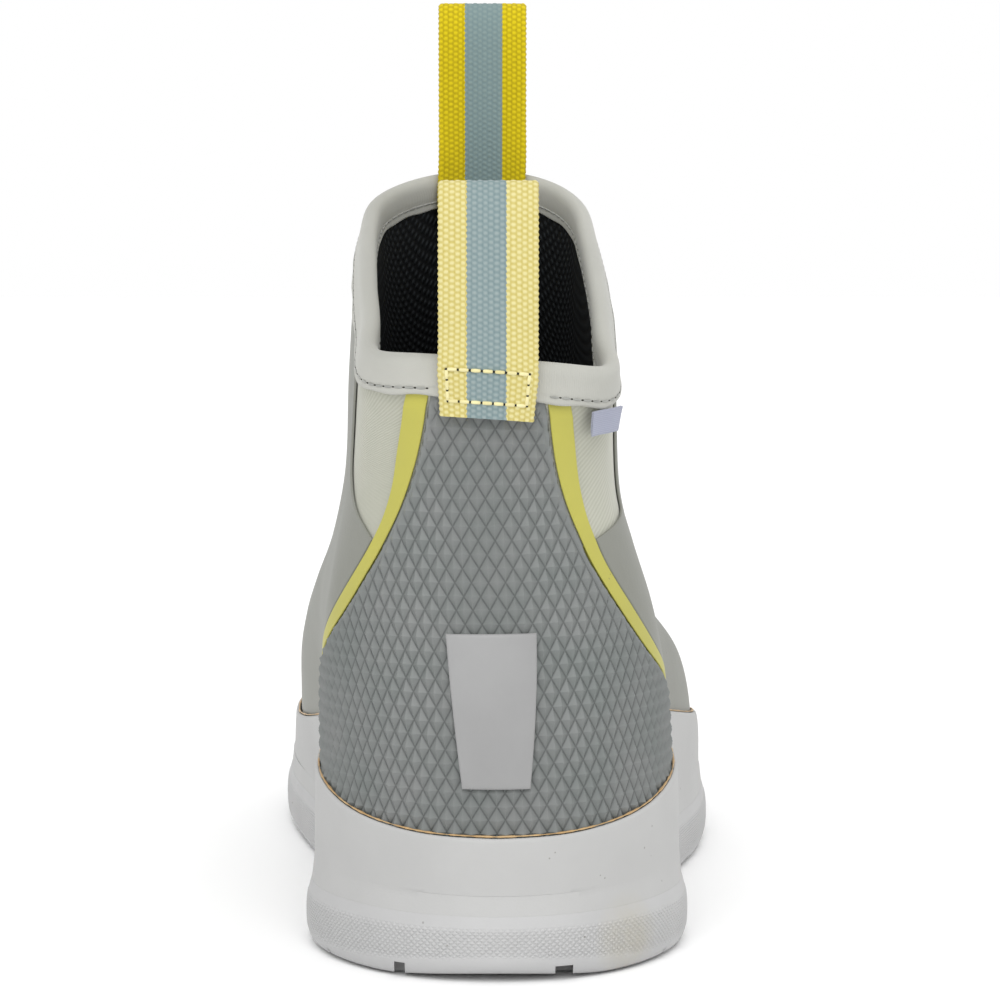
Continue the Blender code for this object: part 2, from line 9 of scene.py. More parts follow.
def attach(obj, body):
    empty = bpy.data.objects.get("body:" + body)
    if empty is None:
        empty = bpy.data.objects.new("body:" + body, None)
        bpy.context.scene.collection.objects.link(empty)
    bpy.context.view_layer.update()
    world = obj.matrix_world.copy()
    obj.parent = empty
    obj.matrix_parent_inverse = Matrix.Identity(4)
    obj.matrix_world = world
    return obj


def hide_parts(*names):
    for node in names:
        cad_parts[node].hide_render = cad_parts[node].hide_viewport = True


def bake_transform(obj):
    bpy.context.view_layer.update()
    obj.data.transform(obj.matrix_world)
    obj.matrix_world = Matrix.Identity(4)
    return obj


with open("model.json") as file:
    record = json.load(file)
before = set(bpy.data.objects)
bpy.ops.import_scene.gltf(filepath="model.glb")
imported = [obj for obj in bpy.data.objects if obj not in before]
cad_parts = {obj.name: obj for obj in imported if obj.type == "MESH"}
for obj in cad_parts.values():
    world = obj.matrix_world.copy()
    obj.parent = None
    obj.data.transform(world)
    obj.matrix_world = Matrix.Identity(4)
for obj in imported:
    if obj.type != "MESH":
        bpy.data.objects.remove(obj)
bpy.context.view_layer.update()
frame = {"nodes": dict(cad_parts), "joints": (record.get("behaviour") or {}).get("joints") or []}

# Everything is worked out in millimetres on the boot's last, and laid down in metres.
MM = 0.001

# Rings of the last: share of the way up, back (y, z) and front (y, z).
RINGS = (
    (0.00, -145.0, 18.5, 143.0, 25.4),
    (0.12, -148.0, 33.0, 145.5, 40.0),
    (0.25, -149.3, 49.0, 137.5, 55.5),
    (0.38, -148.0, 65.0, 109.0, 66.0),
    (0.50, -144.5, 80.0, 70.0, 74.5),
    (0.62, -141.2, 94.0, 31.0, 89.5),
    (0.74, -139.3, 107.5, 2.0, 112.0),
    (0.87, -139.8, 121.0, -17.5, 144.0),
    (1.00, -142.0, 133.6, -32.0, 178.5),
)
STATIONS = (0.0, 0.12, 0.25, 0.40, 0.55, 0.70, 0.85, 1.0)  # back to front along a ring
REACH = (  # sideways reach of each ring at each station
    (65.0, 56.0, 41.2, 38.3, 45.7, 54.5, 62.0, 66.0),
    (65.0, 55.8, 42.0, 40.3, 48.7, 55.6, 63.0, 66.0),
    (63.0, 55.0, 42.6, 40.3, 48.0, 51.3, 54.5, 57.0),
    (59.0, 53.2, 42.0, 39.2, 42.8, 43.8, 44.0, 46.0),
    (53.0, 49.6, 39.8, 35.9, 37.0, 38.0, 37.8, 41.0),
    (45.5, 43.6, 36.3, 32.5, 32.3, 32.8, 33.6, 35.5),
    (39.5, 37.5, 32.6, 30.0, 29.8, 29.8, 31.2, 32.5),
    (40.0, 37.0, 31.0, 28.9, 28.4, 29.2, 31.4, 33.0),
    (46.0, 39.5, 30.5, 27.4, 26.9, 28.6, 32.9, 36.0),
)
LEAN = (  # where the middle of each ring lies at each station
    (0.0, 0.0, 0.8, 2.2, 2.5, 0.0, -5.0, -9.0),
    (0.0, 0.0, 0.5, 1.2, 1.2, -1.0, -5.0, -9.0),
    (-0.3, -0.3, -0.3, -0.5, -1.0, -3.0, -6.0, -9.0),
    (-0.8, -0.8, -1.2, -2.6, -4.2, -5.8, -7.6, -8.8),
    (-1.5, -1.6, -2.2, -4.7, -6.2, -7.0, -7.4, -7.6),
    (-2.2, -2.5, -3.0, -4.4, -5.2, -5.6, -5.8, -6.0),
    (-2.6, -3.0, -3.4, -3.5, -3.7, -4.0, -4.6, -5.0),
    (-2.3, -2.4, -2.8, -3.3, -3.9, -4.2, -4.2, -3.8),
    (-2.0, -1.6, -2.2, -3.0, -3.8, -4.4, -4.4, -3.4),
)
# How far the topline dips behind the ankle bones, at each station, and more on the outer side.
DIP_V = (0.0, 0.74, 0.87, 1.0)
DIP = (
    (0.0, 0.0, 0.0, 0.0, 0.0, 0.0, 0.0, 0.0),
    (0.0, 0.0, 0.0, 0.0, 0.0, 0.0, 0.0, 0.0),
    (0.0, 1.8, 1.5, 0.5, 0.1, 0.0, 0.0, 0.0),
    (0.0, 5.2, 4.2, 1.5, 0.3, 0.0, 0.0, 0.0),
)
TILT = (0.0, 0.0, 1.4, 3.2)
# Panel edges: share of the way up, then degrees round from the back.
EDGE_V = (0.0, 0.20, 0.34, 0.42, 0.50, 0.58, 0.66, 0.74, 0.83, 1.0)
HEEL_MEDIAL = (72.0, 66.0, 55.0, 45.0, 36.5, 31.0, 26.5, 23.1, 19.8, 14.9)
STRIPE_MEDIAL = (75.0, 69.0, 58.5, 49.5, 41.5, 35.5, 31.0, 29.0, 27.6, 22.6)
HEEL_LATERAL = (68.0, 60.0, 47.0, 37.5, 31.5, 27.5, 25.0, 22.9, 20.1, 15.3)
STRIPE_LATERAL = (71.0, 63.5, 51.0, 42.0, 36.0, 32.0, 30.3, 30.0, 28.3, 23.1)
# Edge of the stretch gore left open in the shell on each side of the ankle.
GORE_V = (0.635, 0.66, 0.69, 0.73, 0.78, 0.87, 1.0)
GORE_MEDIAL = (31.5, 36.0, 42.0, 49.0, 56.0, 62.0, 63.0)
GORE_LATERAL = (30.0, 41.0, 54.0, 62.0, 67.0, 70.0, 71.0)
# Top edge of the midsole wall: degrees round from the back, height.
WALL_A = (0.0, 15.0, 30.0, 45.0, 60.0, 75.0, 95.0, 115.0, 140.0, 180.0)
WALL_Z = (32.8, 33.4, 36.0, 41.0, 45.0, 44.5, 37.5, 32.0, 30.5, 31.0)

SHELL_OUT = 3.3  # outer face of the moulded panels, measured out from the last
RUBBER = 1.15  # and their thickness
RUBBER_TOP = 3.4  # they end this far below the topline, under the binding
THINNED = 0.65  # and are moulded this much thinner there
WEB_WIDE, WEB_THICK, WEB_RIBS = 22.0, 1.4, 18
TAIL_OUT, TAIL_IN = 4.6, 2.8  # near faces of the straps' outer and inner tails
BOX_TOP, BOX_LOW = -2.1, 4.9  # rows of the box stitch, below the topline
REAR_TALL, FRONT_TALL = 39.4, 42.3
LOOP_START, LOOP_HALF_GAP = 4.5, 4.05
STITCH_S = 3.0  # how far below the topline the collar is sewn
FLARE = 1.8  # how far the sole stands out further beside the ball of the foot


# ---------------------------------------------------------------- the last

def weights(knots, x):
    """How much each knot counts in a smooth curve at x."""
    knots = np.asarray(knots, float)
    x = np.clip(np.atleast_1d(np.asarray(x, float)), knots[0], knots[-1])
    n = len(knots)
    i = np.clip(np.searchsorted(knots, x) - 1, 0, n - 2)
    h = (knots[i + 1] - knots[i])[:, None]
    u = (x - knots[i])[:, None] / h
    eye = np.eye(n)
    slope = np.zeros((n, n))
    for k in range(n):
        lo = max(k - 1, 0)
        hi = min(k + 1, n - 1)
        slope[k, hi] += 1 / (knots[hi] - knots[lo])
        slope[k, lo] -= 1 / (knots[hi] - knots[lo])
    return ((2 * u ** 3 - 3 * u ** 2 + 1) * eye[i] + (u ** 3 - 2 * u ** 2 + u) * h * slope[i]
            + (3 * u ** 2 - 2 * u ** 3) * eye[i + 1] + (u ** 3 - u ** 2) * h * slope[i + 1])


def curve(knots, values, x):
    shape = np.shape(x)
    return (weights(knots, np.ravel(x)) @ np.asarray(values, float)).reshape(shape)


def spring(y):
    """Toe spring: how far the sole curves up from the ground."""
    return 8.0 * np.clip((y - 55.0) / 95.0, 0.0, 1.0) ** 2


def last(theta, v):
    """Points of the last for angles theta and shares v."""
    theta, v = np.broadcast_arrays(np.asarray(theta, float), np.asarray(v, float))
    shape = theta.shape
    theta, v = theta.ravel(), v.ravel()
    wv = weights([r[0] for r in RINGS], v)
    ry, rz, fy, fz = (wv @ np.array([r[k] for r in RINGS]) for k in (1, 2, 3, 4))
    a = np.radians(theta)
    t = (1 - np.cos(a)) / 2
    wt = weights(STATIONS, t)
    reach = np.einsum("nk,kj,nj->n", wv, np.array(REACH), wt)
    lean = np.einsum("nk,kj,nj->n", wv, np.array(LEAN), wt)
    y = ry + (fy - ry) * t
    z = rz + (fz - rz) * t + (spring(y) - t * spring(fy)) * np.maximum(0.0, 1 - v / 0.5) ** 2
    wd = weights(DIP_V, v)
    z = z - np.einsum("nk,kj,nj->n", wd, np.array(DIP), wt) - wd @ np.array(TILT) * np.sin(a) * (1 - t)
    return np.stack((np.sin(a) * reach + lean, y, z), -1).reshape(shape + (3,))


def normal(theta, v):
    theta, v = np.broadcast_arrays(np.asarray(theta, float), np.asarray(v, float))
    along = last(theta + 0.5, v) - last(theta - 0.5, v)
    up = last(theta, np.minimum(v + 0.004, 1)) - last(theta, np.maximum(v - 0.004, 0))
    n = np.cross(along, up)
    return n / np.linalg.norm(n, axis=-1, keepdims=True)


def skin(theta, v, off):
    return last(theta, v) + normal(theta, v) * np.asarray(off, float)[..., None]


def climb(theta):
    """Millimetres up the boot for a whole share, near the topline."""
    return np.linalg.norm(last(theta, 0.99) - last(theta, 0.94), axis=-1) / 0.05


def rim(theta, off, s):
    """Points off mm out from the topline and s mm below it; above it where s is negative."""
    theta, off, s = np.broadcast_arrays(*(np.asarray(k, float) for k in (theta, off, s)))
    base = skin(theta, 1 - np.maximum(s, 0) / climb(theta), off)
    up = last(theta, np.ones_like(theta)) - last(theta, np.full_like(theta, 0.97))
    up = up / np.linalg.norm(up, axis=-1, keepdims=True)
    return base + up * np.maximum(-s, 0)[..., None]


def flare(theta, off):
    """How much further the outside of the sole stands out beside the ball of the foot."""
    side = np.minimum(theta % 360, 360 - theta % 360)
    return FLARE * np.clip(1 - ((side - 118.0) / 38.0) ** 2, 0, 1) * np.clip((off - 3.9) / 1.5, 0, 1)


def outline(theta, off, z):
    """Points of the sole, off mm outside the last's lower edge, z above the ground line."""
    theta, off, z = np.broadcast_arrays(*(np.asarray(k, float) for k in (theta, off, z)))
    off = off + flare(theta, off)
    n = normal(theta, np.full_like(theta, 0.01))
    n[..., 2] = 0
    n = n / np.linalg.norm(n, axis=-1, keepdims=True)
    q = last(theta, np.zeros_like(theta)) + n * off[..., None]
    q[..., 2] = z + spring(q[..., 1])
    bevel = np.clip((-138.0 - q[..., 1]) / 14.0, 0.0, 1.0) ** 2 * np.clip(1 - z / 6.0, 0.0, 1.0)
    q[..., 2] += 2.5 * bevel
    return q


def wall_share(theta):
    """The share v where the midsole wall ends at each angle."""
    theta = np.asarray(theta, float)
    side = np.minimum(theta % 360, 360 - theta % 360)
    want = curve(WALL_A, WALL_Z, side)
    lo = np.zeros_like(theta)
    hi = np.full_like(theta, 0.4)
    for _ in range(24):
        mid = (lo + hi) / 2
        p = last(theta, mid)
        high = p[..., 2] > want + spring(p[..., 1])
        hi = np.where(high, mid, hi)
        lo = np.where(high, lo, mid)
    return lo


def run(points, axis):
    """Distance walked along a grid of points."""
    step = np.linalg.norm(np.diff(points, axis=axis), axis=-1)
    pad = np.zeros_like(np.take(step, [0], axis=axis))
    return np.cumsum(np.concatenate((pad, step), axis=axis), axis=axis)


def spaced(count, total, fine):
    """Fractions from 0 to 1 with close steps at both ends, where an edge is rounded."""
    f = min(fine / total, 0.25)
    ends = np.array((0.0, 0.04, 0.13, 0.28, 0.5, 0.75)) * f
    return np.concatenate((ends, np.linspace(f, 1 - f, count), 1 - ends[::-1]))


# ---------------------------------------------------------------- laying meshes

def only(o):
    """Makes this the one selected and active object."""
    bpy.ops.object.select_all(action="DESELECT")
    o.select_set(True)
    bpy.context.view_layer.objects.active = o


def apply(o, kind, **settings):
    """Adds a modifier and applies it."""
    only(o)
    m = o.modifiers.new(kind.lower(), kind)
    for key, value in settings.items():
        setattr(m, key, value)
    bpy.ops.object.modifier_apply(modifier=m.name)


def laid(name, points, weld=False, flip=False, smooth=40.0, relief=None, rising=None):
    """A grid of cloth or rubber laid on the given points, mm, with its own lengths as UVs.

    Where rising is given, each square is split, along the rising diagonal where it is true."""
    rows, cols = points.shape[:2]
    bpy.ops.object.select_all(action="DESELECT")
    bpy.ops.mesh.primitive_grid_add(x_subdivisions=cols - 1, y_subdivisions=rows - 1, size=2.0)
    o = bpy.context.object
    o.name = o.data.name = name
    o.location = (0, 0, 0)
    mesh = o.data
    flat = np.zeros(len(mesh.vertices) * 3)
    mesh.vertices.foreach_get("co", flat)
    flat = flat.reshape(-1, 3)
    i = np.rint((flat[:, 0] + 1) / 2 * (cols - 1)).astype(int)
    j = np.rint((flat[:, 1] + 1) / 2 * (rows - 1)).astype(int)
    mesh.vertices.foreach_set("co", (points[j, i] * MM).ravel())
    u, w = run(points, 1), run(points, 0)
    corner = np.zeros(len(mesh.loops), int)
    mesh.loops.foreach_get("vertex_index", corner)
    uv = np.stack((u[j, i][corner], w[j, i][corner]), -1)
    mesh.uv_layers[0].data.foreach_set("uv", uv.ravel())
    if relief is not None:
        mark = mesh.attributes.new("relief", "FLOAT", "POINT")
        mark.data.foreach_set("value", relief[j, i].astype(np.float32))
    only(o)
    if rising is not None:
        split(o, rising, i, j)
    bpy.ops.object.mode_set(mode="EDIT")
    bpy.ops.mesh.select_all(action="SELECT")
    if weld:
        bpy.ops.mesh.remove_doubles(threshold=0.000004)
    if flip:
        bpy.ops.mesh.flip_normals()
    bpy.ops.object.mode_set(mode="OBJECT")
    bpy.ops.object.shade_smooth_by_angle(angle=math.radians(smooth))
    return o


def split(o, rising, i, j):
    """Splits each square of a laid grid along the diagonal asked for."""
    corner = np.array([(min(i[v] for v in f.vertices), min(j[v] for v in f.vertices))
                       for f in o.data.polygons])
    chosen = rising[corner[:, 1], corner[:, 0]]
    for method in ("FIXED", "FIXED_ALTERNATE"):
        bpy.ops.object.mode_set(mode="EDIT")
        bpy.ops.mesh.select_mode(type="FACE")
        bpy.ops.mesh.select_all(action="DESELECT")
        bpy.ops.object.mode_set(mode="OBJECT")
        o.data.polygons.foreach_set("select", chosen)
        bpy.ops.object.mode_set(mode="EDIT")
        bpy.ops.mesh.quads_convert_to_tris(quad_method=method, ngon_method="BEAUTY")
        bpy.ops.mesh.select_mode(type="VERT")
        bpy.ops.object.mode_set(mode="OBJECT")
        chosen = np.array([len(f.vertices) == 4 for f in o.data.polygons])


def wrapped(name, rings, count, flip=False):
    """A closed body through whole rings, each a function of theta, joined end to start."""
    theta = np.linspace(0.0, 360.0, count)
    rows = [ring(theta) for ring in rings]
    return laid(name, np.array(rows + rows[:1]), weld=True, flip=flip)


def rounded(d, r):
    """How far a rounded edge of radius r has dropped, d mm in from it."""
    k = np.clip(1 - d / r, 0, 1)
    return r - r * np.sqrt(1 - k ** 2)


# ---------------------------------------------------------------- materials

def tint(code):
    """An sRGB hex colour as linear light."""
    parts = [int(code[k:k + 2], 16) / 255 for k in (1, 3, 5)]
    return tuple(c / 12.92 if c <= 0.04045 else ((c + 0.055) / 1.055) ** 2.4 for c in parts) + (1.0,)


def add(m, kind, links=None, stops=(), **settings):
    """Adds a node with its settings, colour stops and links, and returns its outputs."""
    n = m.node_tree.nodes.new("ShaderNode" + kind)
    for key, value in settings.items():
        setattr(n, key, value)
    for key, value in (links or {}).items():
        if isinstance(value, bpy.types.NodeSocket):
            m.node_tree.links.new(value, n.inputs[key])
        else:
            n.inputs[key].default_value = value
    for k, (at, code) in enumerate(stops):
        marks = n.color_ramp.elements
        if k == len(marks):
            marks.new(at)
        marks[k].position = at
        marks[k].color = tint(code)
    return n.outputs


def started(name, rough, **sockets):
    """A new material, and the places it can be drawn from."""
    m = bpy.data.materials.new(name)
    m.use_nodes = True
    shader = m.node_tree.nodes["Principled BSDF"]
    shader.inputs["Roughness"].default_value = rough
    for key, value in sockets.items():
        shader.inputs[key.replace("_", " ")].default_value = value
    return m, add(m, "TexCoord")


def coated(m, colour, height, mm):
    """Gives the shader its colour, and its relief from a height of 0 to 1 that is mm deep."""
    shader = m.node_tree.nodes["Principled BSDF"]
    m.node_tree.links.new(colour, shader.inputs["Base Color"])
    relief = add(m, "Bump", {"Height": height, "Distance": mm * MM})
    m.node_tree.links.new(relief[0], shader.inputs["Normal"])


def moulded(m, where, light, dark, patch=28.0):
    """The colour of moulded rubber: faint cloudy patches and a few specks of dust."""
    cloud = add(m, "TexNoise", {"Vector": where, "Scale": patch, "Detail": 4.0, "Roughness": 0.6})
    base = add(m, "ValToRGB", {0: cloud[0]}, ((0.3, dark), (0.7, light)))
    cell = add(m, "TexVoronoi", {"Vector": where, "Scale": 260.0})
    speck = add(m, "Math", {0: cell["Distance"], 1: 0.07}, operation="LESS_THAN")
    rare = add(m, "TexNoise", {"Vector": where, "Scale": 90.0, "Detail": 1.0})
    keep = add(m, "Math", {0: rare[0], 1: 0.56}, operation="GREATER_THAN")
    spot = add(m, "Math", {0: speck[0], 1: keep[0]}, operation="MULTIPLY")
    faint = add(m, "Math", {0: spot[0], 1: 0.45}, operation="MULTIPLY")
    return add(m, "Mix", {0: faint[0], 6: base[0], 7: tint("#5f5a50")}, data_type="RGBA")[2]


GRAIN = {"Detail": 5.0, "Roughness": 0.65}  # the fine grain of a mould's face, or of spun thread


def smooth_rubber():
    """Vulcanised natural rubber from a satin mould: matt grey with a soft wide gloss."""
    m, place = started("vulcanised_rubber_satin_grey", 0.5, Specular_IOR_Level=0.4)
    where = place["Object"]
    face = add(m, "TexNoise", {"Vector": where, "Scale": 900.0, **GRAIN})
    coated(m, moulded(m, where, "#868780", "#7e7f77"), face[0], 0.06)
    return m


def diamond_rubber():
    """The same rubber off a diamond-cut mould: darker, with painted shade in the valleys between the
    diamonds.
    """
    m, place = started("vulcanised_rubber_diamond_cut_grey", 0.46, Specular_IOR_Level=0.45)
    where = place["Object"]
    depth = add(m, "Attribute", attribute_name="relief")
    cloud = add(m, "TexNoise", {"Vector": where, "Scale": 60.0, "Detail": 4.0, "Roughness": 0.6})
    tops = add(m, "ValToRGB", {0: cloud[0]}, ((0.3, "#727775"), (0.7, "#7d7f7e")))
    # Painted shade: the valleys between the diamonds, where the relief is low, are darkened as if shade fell
    # there.
    valley_shade = add(m, "ValToRGB", {0: depth["Fac"]}, ((0.0, "#c2c4c4"), (0.18, "#f4f4f4"), (1.0, "#ffffff")))
    colour = add(m, "Mix", {0: 1.0, 6: tops[0], 7: valley_shade[0]}, data_type="RGBA", blend_type="MULTIPLY")
    face = add(m, "TexNoise", {"Vector": where, "Scale": 1100.0, **GRAIN})
    coated(m, colour[2], face[0], 0.05)
    return m


def plate_rubber():
    """Rubber from a polished mould: paler and a little glossier than the panel round it."""
    m, place = started("vulcanised_rubber_pale_plate", 0.42, Specular_IOR_Level=0.4)
    where = place["Object"]
    face = add(m, "TexNoise", {"Vector": where, "Scale": 900.0, **GRAIN})
    coated(m, moulded(m, where, "#9a9a9a", "#929292"), face[0], 0.03)
    return m


def yellow_rubber():
    """Pigmented rubber inlay: flat dull yellow, a little greener in patches."""
    m, place = started("pigmented_rubber_inlay_yellow", 0.5, Specular_IOR_Level=0.35)
    where = place["Object"]
    face = add(m, "TexNoise", {"Vector": where, "Scale": 900.0, **GRAIN})
    coated(m, moulded(m, where, "#b8b351", "#afaa52"), face[0], 0.04)
    return m


def sole_rubber(name, light, dark):
    """Pressed foam rubber: pale, chalky and matt, with a warm deck stain low on the outer heel."""
    m, place = started(name, 0.6, Specular_IOR_Level=0.35)
    where = place["Object"]
    base = moulded(m, where, light, dark, 22.0)
    shifted = add(m, "Mapping", {"Vector": where, "Location": (-0.034, 0.142, -0.0075)})
    away = add(m, "VectorMath", {0: shifted[0]}, operation="LENGTH")["Value"]
    near = add(m, "MapRange", {0: away, 1: 0.013, 2: 0.003, 3: 0.0, 4: 1.0})
    blotch = add(m, "TexNoise", {"Vector": where, "Scale": 190.0, "Detail": 4.0, "Roughness": 0.7})
    patchy = add(m, "Math", {0: near[0], 1: blotch[0]}, operation="MULTIPLY")
    faint = add(m, "Math", {0: patchy[0], 1: 0.9}, operation="MULTIPLY")
    colour = add(m, "Mix", {0: faint[0], 6: base, 7: tint("#b2aa90")}, data_type="RGBA")
    face = add(m, "TexNoise", {"Vector": where, "Scale": 900.0, **GRAIN})
    coated(m, colour[2], face[0], 0.05)
    return m


def neoprene_knit():
    """Neoprene foam under a fine twill jersey: slanting ribs, no gloss.

    The ribs are drawn 1 mm apart, about twice as coarse as real ones, so that they don't shimmer."""
    m, place = started("neoprene_twill_jersey_stone", 0.9, Sheen_Weight=0.25, Specular_IOR_Level=0.2)
    turned = add(m, "Mapping", {"Vector": place["UV"], "Rotation": (0.0, 0.0, math.radians(50))})
    rib = add(m, "TexWave", {"Vector": turned[0], "Scale": 0.31, "Distortion": 0.6, "Detail": 2.0})
    cloud = add(m, "TexNoise", {"Vector": place["Object"], "Scale": 40.0, "Detail": 4.0, "Roughness": 0.6})
    base = add(m, "ValToRGB", {0: cloud[0]}, ((0.3, "#b3b4a6"), (0.7, "#bbbbaf")))
    dip = add(m, "ValToRGB", {0: rib[1]}, ((0.0, "#efefec"), (1.0, "#ffffff")))
    colour = add(m, "Mix", {0: 1.0, 6: base[0], 7: dip[0]}, data_type="RGBA", blend_type="MULTIPLY")
    coated(m, colour[2], rib[1], 0.05)
    return m


def binding_jersey():
    """Stretch binding over foam: a close, smooth jersey, pale grey, softly lit."""
    m, place = started("stretch_jersey_binding_pale", 0.72, Sheen_Weight=0.2, Specular_IOR_Level=0.3)
    cloud = add(m, "TexNoise", {"Vector": place["Object"], "Scale": 30.0, "Detail": 4.0, "Roughness": 0.6})
    base = add(m, "ValToRGB", {0: cloud[0]}, ((0.3, "#adada6"), (0.7, "#b6b6af")))
    knit = add(m, "TexWave", {"Vector": place["UV"], "Scale": 0.55, "Distortion": 1.0, "Detail": 2.0})
    coated(m, base[0], knit[1], 0.03)
    return m


def webbing(name, pale, deep, grey, left, right):
    """Spun polyester webbing: two coloured edges and a grey middle, hairy and matt, with painted shade in the
    low places of the weave.

    The middle runs from left to right, as shares of the width."""
    m, place = started(name, 0.88, Sheen_Weight=0.12, Specular_IOR_Level=0.2)
    part = add(m, "SeparateXYZ", {0: place["UV"]})
    teeth = add(m, "Math", {0: part[1], 1: 5.0}, operation="MULTIPLY")
    ragged = add(m, "Math", {0: teeth[0]}, operation="SINE")
    across = add(m, "Math", {0: ragged[0], 1: 0.1, 2: part[0]}, operation="MULTIPLY_ADD")
    past = add(m, "Math", {0: across[0], 1: left * WEB_WIDE}, operation="GREATER_THAN")
    before = add(m, "Math", {0: across[0], 1: right * WEB_WIDE}, operation="LESS_THAN")
    middle = add(m, "Math", {0: past[0], 1: before[0]}, operation="MULTIPLY")
    depth = add(m, "Attribute", attribute_name="relief")
    fleck = add(m, "TexNoise", {"Vector": place["Object"], "Scale": 900.0, "Detail": 3.0, "Roughness": 0.7})
    spun = add(m, "Math", {0: fleck[0], 1: 0.3}, operation="MULTIPLY")
    # Painted shade with real fleck: where the weave is low the colour runs to the deep end, as if shade fell
    # there; the fleck adds the spun fibres' own variation.
    tone = add(m, "Math", {0: depth["Fac"], 1: 0.75, 2: spun[0]}, operation="MULTIPLY_ADD")
    edge_weave_shade_and_fleck = add(m, "ValToRGB", {0: tone[0]}, ((0.1, deep), (0.75, pale)))
    middle_weave_shade_and_fleck = add(m, "ValToRGB", {0: tone[0]}, ((0.1, "#6f8487"), (0.8, grey)))
    colour = add(m, "Mix", {0: middle[0], 6: edge_weave_shade_and_fleck[0], 7: middle_weave_shade_and_fleck[0]}, data_type="RGBA")
    coated(m, colour[2], fleck[0], 0.12)
    return m


def mesh_lining():
    """Black spacer mesh: a diagonal net of cords over a darker ground, drawn 2 mm apart."""
    m, place = started("spacer_mesh_black", 0.85, Specular_IOR_Level=0.3)
    nets = []
    for way in (38, -38):
        turned = add(m, "Mapping", {"Vector": place["UV"], "Rotation": (0.0, 0.0, math.radians(way))})
        nets.append(add(m, "TexWave", {"Vector": turned[0], "Scale": 0.155})[1])
    cords = add(m, "Math", {0: nets[0], 1: nets[1]}, operation="MULTIPLY")
    base = add(m, "ValToRGB", {0: cords[0]}, ((0.05, "#0b0d0f"), (0.6, "#24282b")))
    coated(m, base[0], cords[0], 0.5)
    return m


def plain(name, rough, light, dark, scale=300.0, **sockets):
    """A small trim finish: two close tones and a fine grain."""
    m, place = started(name, rough, **sockets)
    where = place["Object"]
    tone = add(m, "TexNoise", {"Vector": where, "Scale": scale, "Detail": 3.0})
    colour = add(m, "ValToRGB", {0: tone[0]}, ((0.3, dark), (0.7, light)))
    face = add(m, "TexNoise", {"Vector": where, "Scale": scale * 3, **GRAIN})
    coated(m, colour[0], face[0], 0.05)
    return m


def woven_tape():
    """Damask label tape: lavender grey with fine cross threads."""
    m, place = started("damask_tape_lavender", 0.7, Sheen_Weight=0.3)
    thread = add(m, "TexWave", {"Vector": place["UV"], "Scale": 0.7})
    pick = add(m, "TexWave", {"Vector": place["UV"], "Scale": 0.7}, bands_direction="Y")
    woven = add(m, "Math", {0: thread[1], 1: pick[1]}, operation="MULTIPLY")
    colour = add(m, "ValToRGB", {0: woven[0]}, ((0.0, "#9094a8"), (1.0, "#a9adbd")))
    coated(m, colour[0], woven[0], 0.05)
    return m


SATIN = smooth_rubber()
DIAMOND = diamond_rubber()
PLATE = plate_rubber()
YELLOW = yellow_rubber()
FOAM = sole_rubber("pressed_foam_rubber_pale", "#b7b7b6", "#b0b0af")
TREAD = sole_rubber("pressed_sole_rubber_pale", "#b9b9b9", "#b0b0b0")
KNIT = neoprene_knit()
JERSEY = binding_jersey()
REAR_WEB = webbing("spun_webbing_pale_yellow", "#dad197", "#b8a64b", "#93a1a1", 0.285, 0.68)
FRONT_WEB = webbing("spun_webbing_deep_yellow", "#d5c012", "#a08b05", "#819391", 0.30, 0.725)
NET = mesh_lining()
TAPE = woven_tape()
# Spun polyester sewing thread: soft, hardly shiny, cream on the webbing and grey on the collar.
THREAD = plain("spun_polyester_thread_cream", 0.6, "#efe6b0", "#d9cf94", Sheen_Weight=0.2)
GREY_THREAD = plain("spun_polyester_thread_grey", 0.65, "#a2a39e", "#8d8e89", Sheen_Weight=0.2)
# The holes the needle left: near black, because no light gets into them.
HOLE = plain("needle_hole_shadow", 0.95, "#2c2a20", "#1c1a14")
# Solvent cement that dried tan where it squeezed out of the joint: a thin line, slightly glossy.
CEMENT = plain("sole_cement_dried_tan", 0.45, "#c9ab7e", "#b28f5f", 120.0)
# Inside the boot: stitched fibre board, moulded stiffeners, foam and a black knit cover.
BOARD = plain("fibre_board_tan", 0.9, "#cbbfa4", "#b5a88b")
STIFF = plain("thermoplastic_stiffener_cream", 0.6, "#cfc8b8", "#c0b8a6")
CORE = plain("open_cell_foam_cream", 0.95, "#c9c4ac", "#b3ad93")
BLACK_FOAM = plain("footbed_foam_charcoal", 0.9, "#3a3b3f", "#2e2f33")
BLACK_KNIT = plain("footbed_knit_black", 0.92, "#1b1c1f", "#131416", 800.0)


def dress(o, material, body, *nodes, slot=None):
    """Gives a piece its material and body, and hides what it stands for; slot is not used."""
    o.data.materials.clear()
    o.data.materials.append(material)
    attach(o, body)
    if nodes:
        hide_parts(*nodes)
    return o


# ---------------------------------------------------------------- the sole

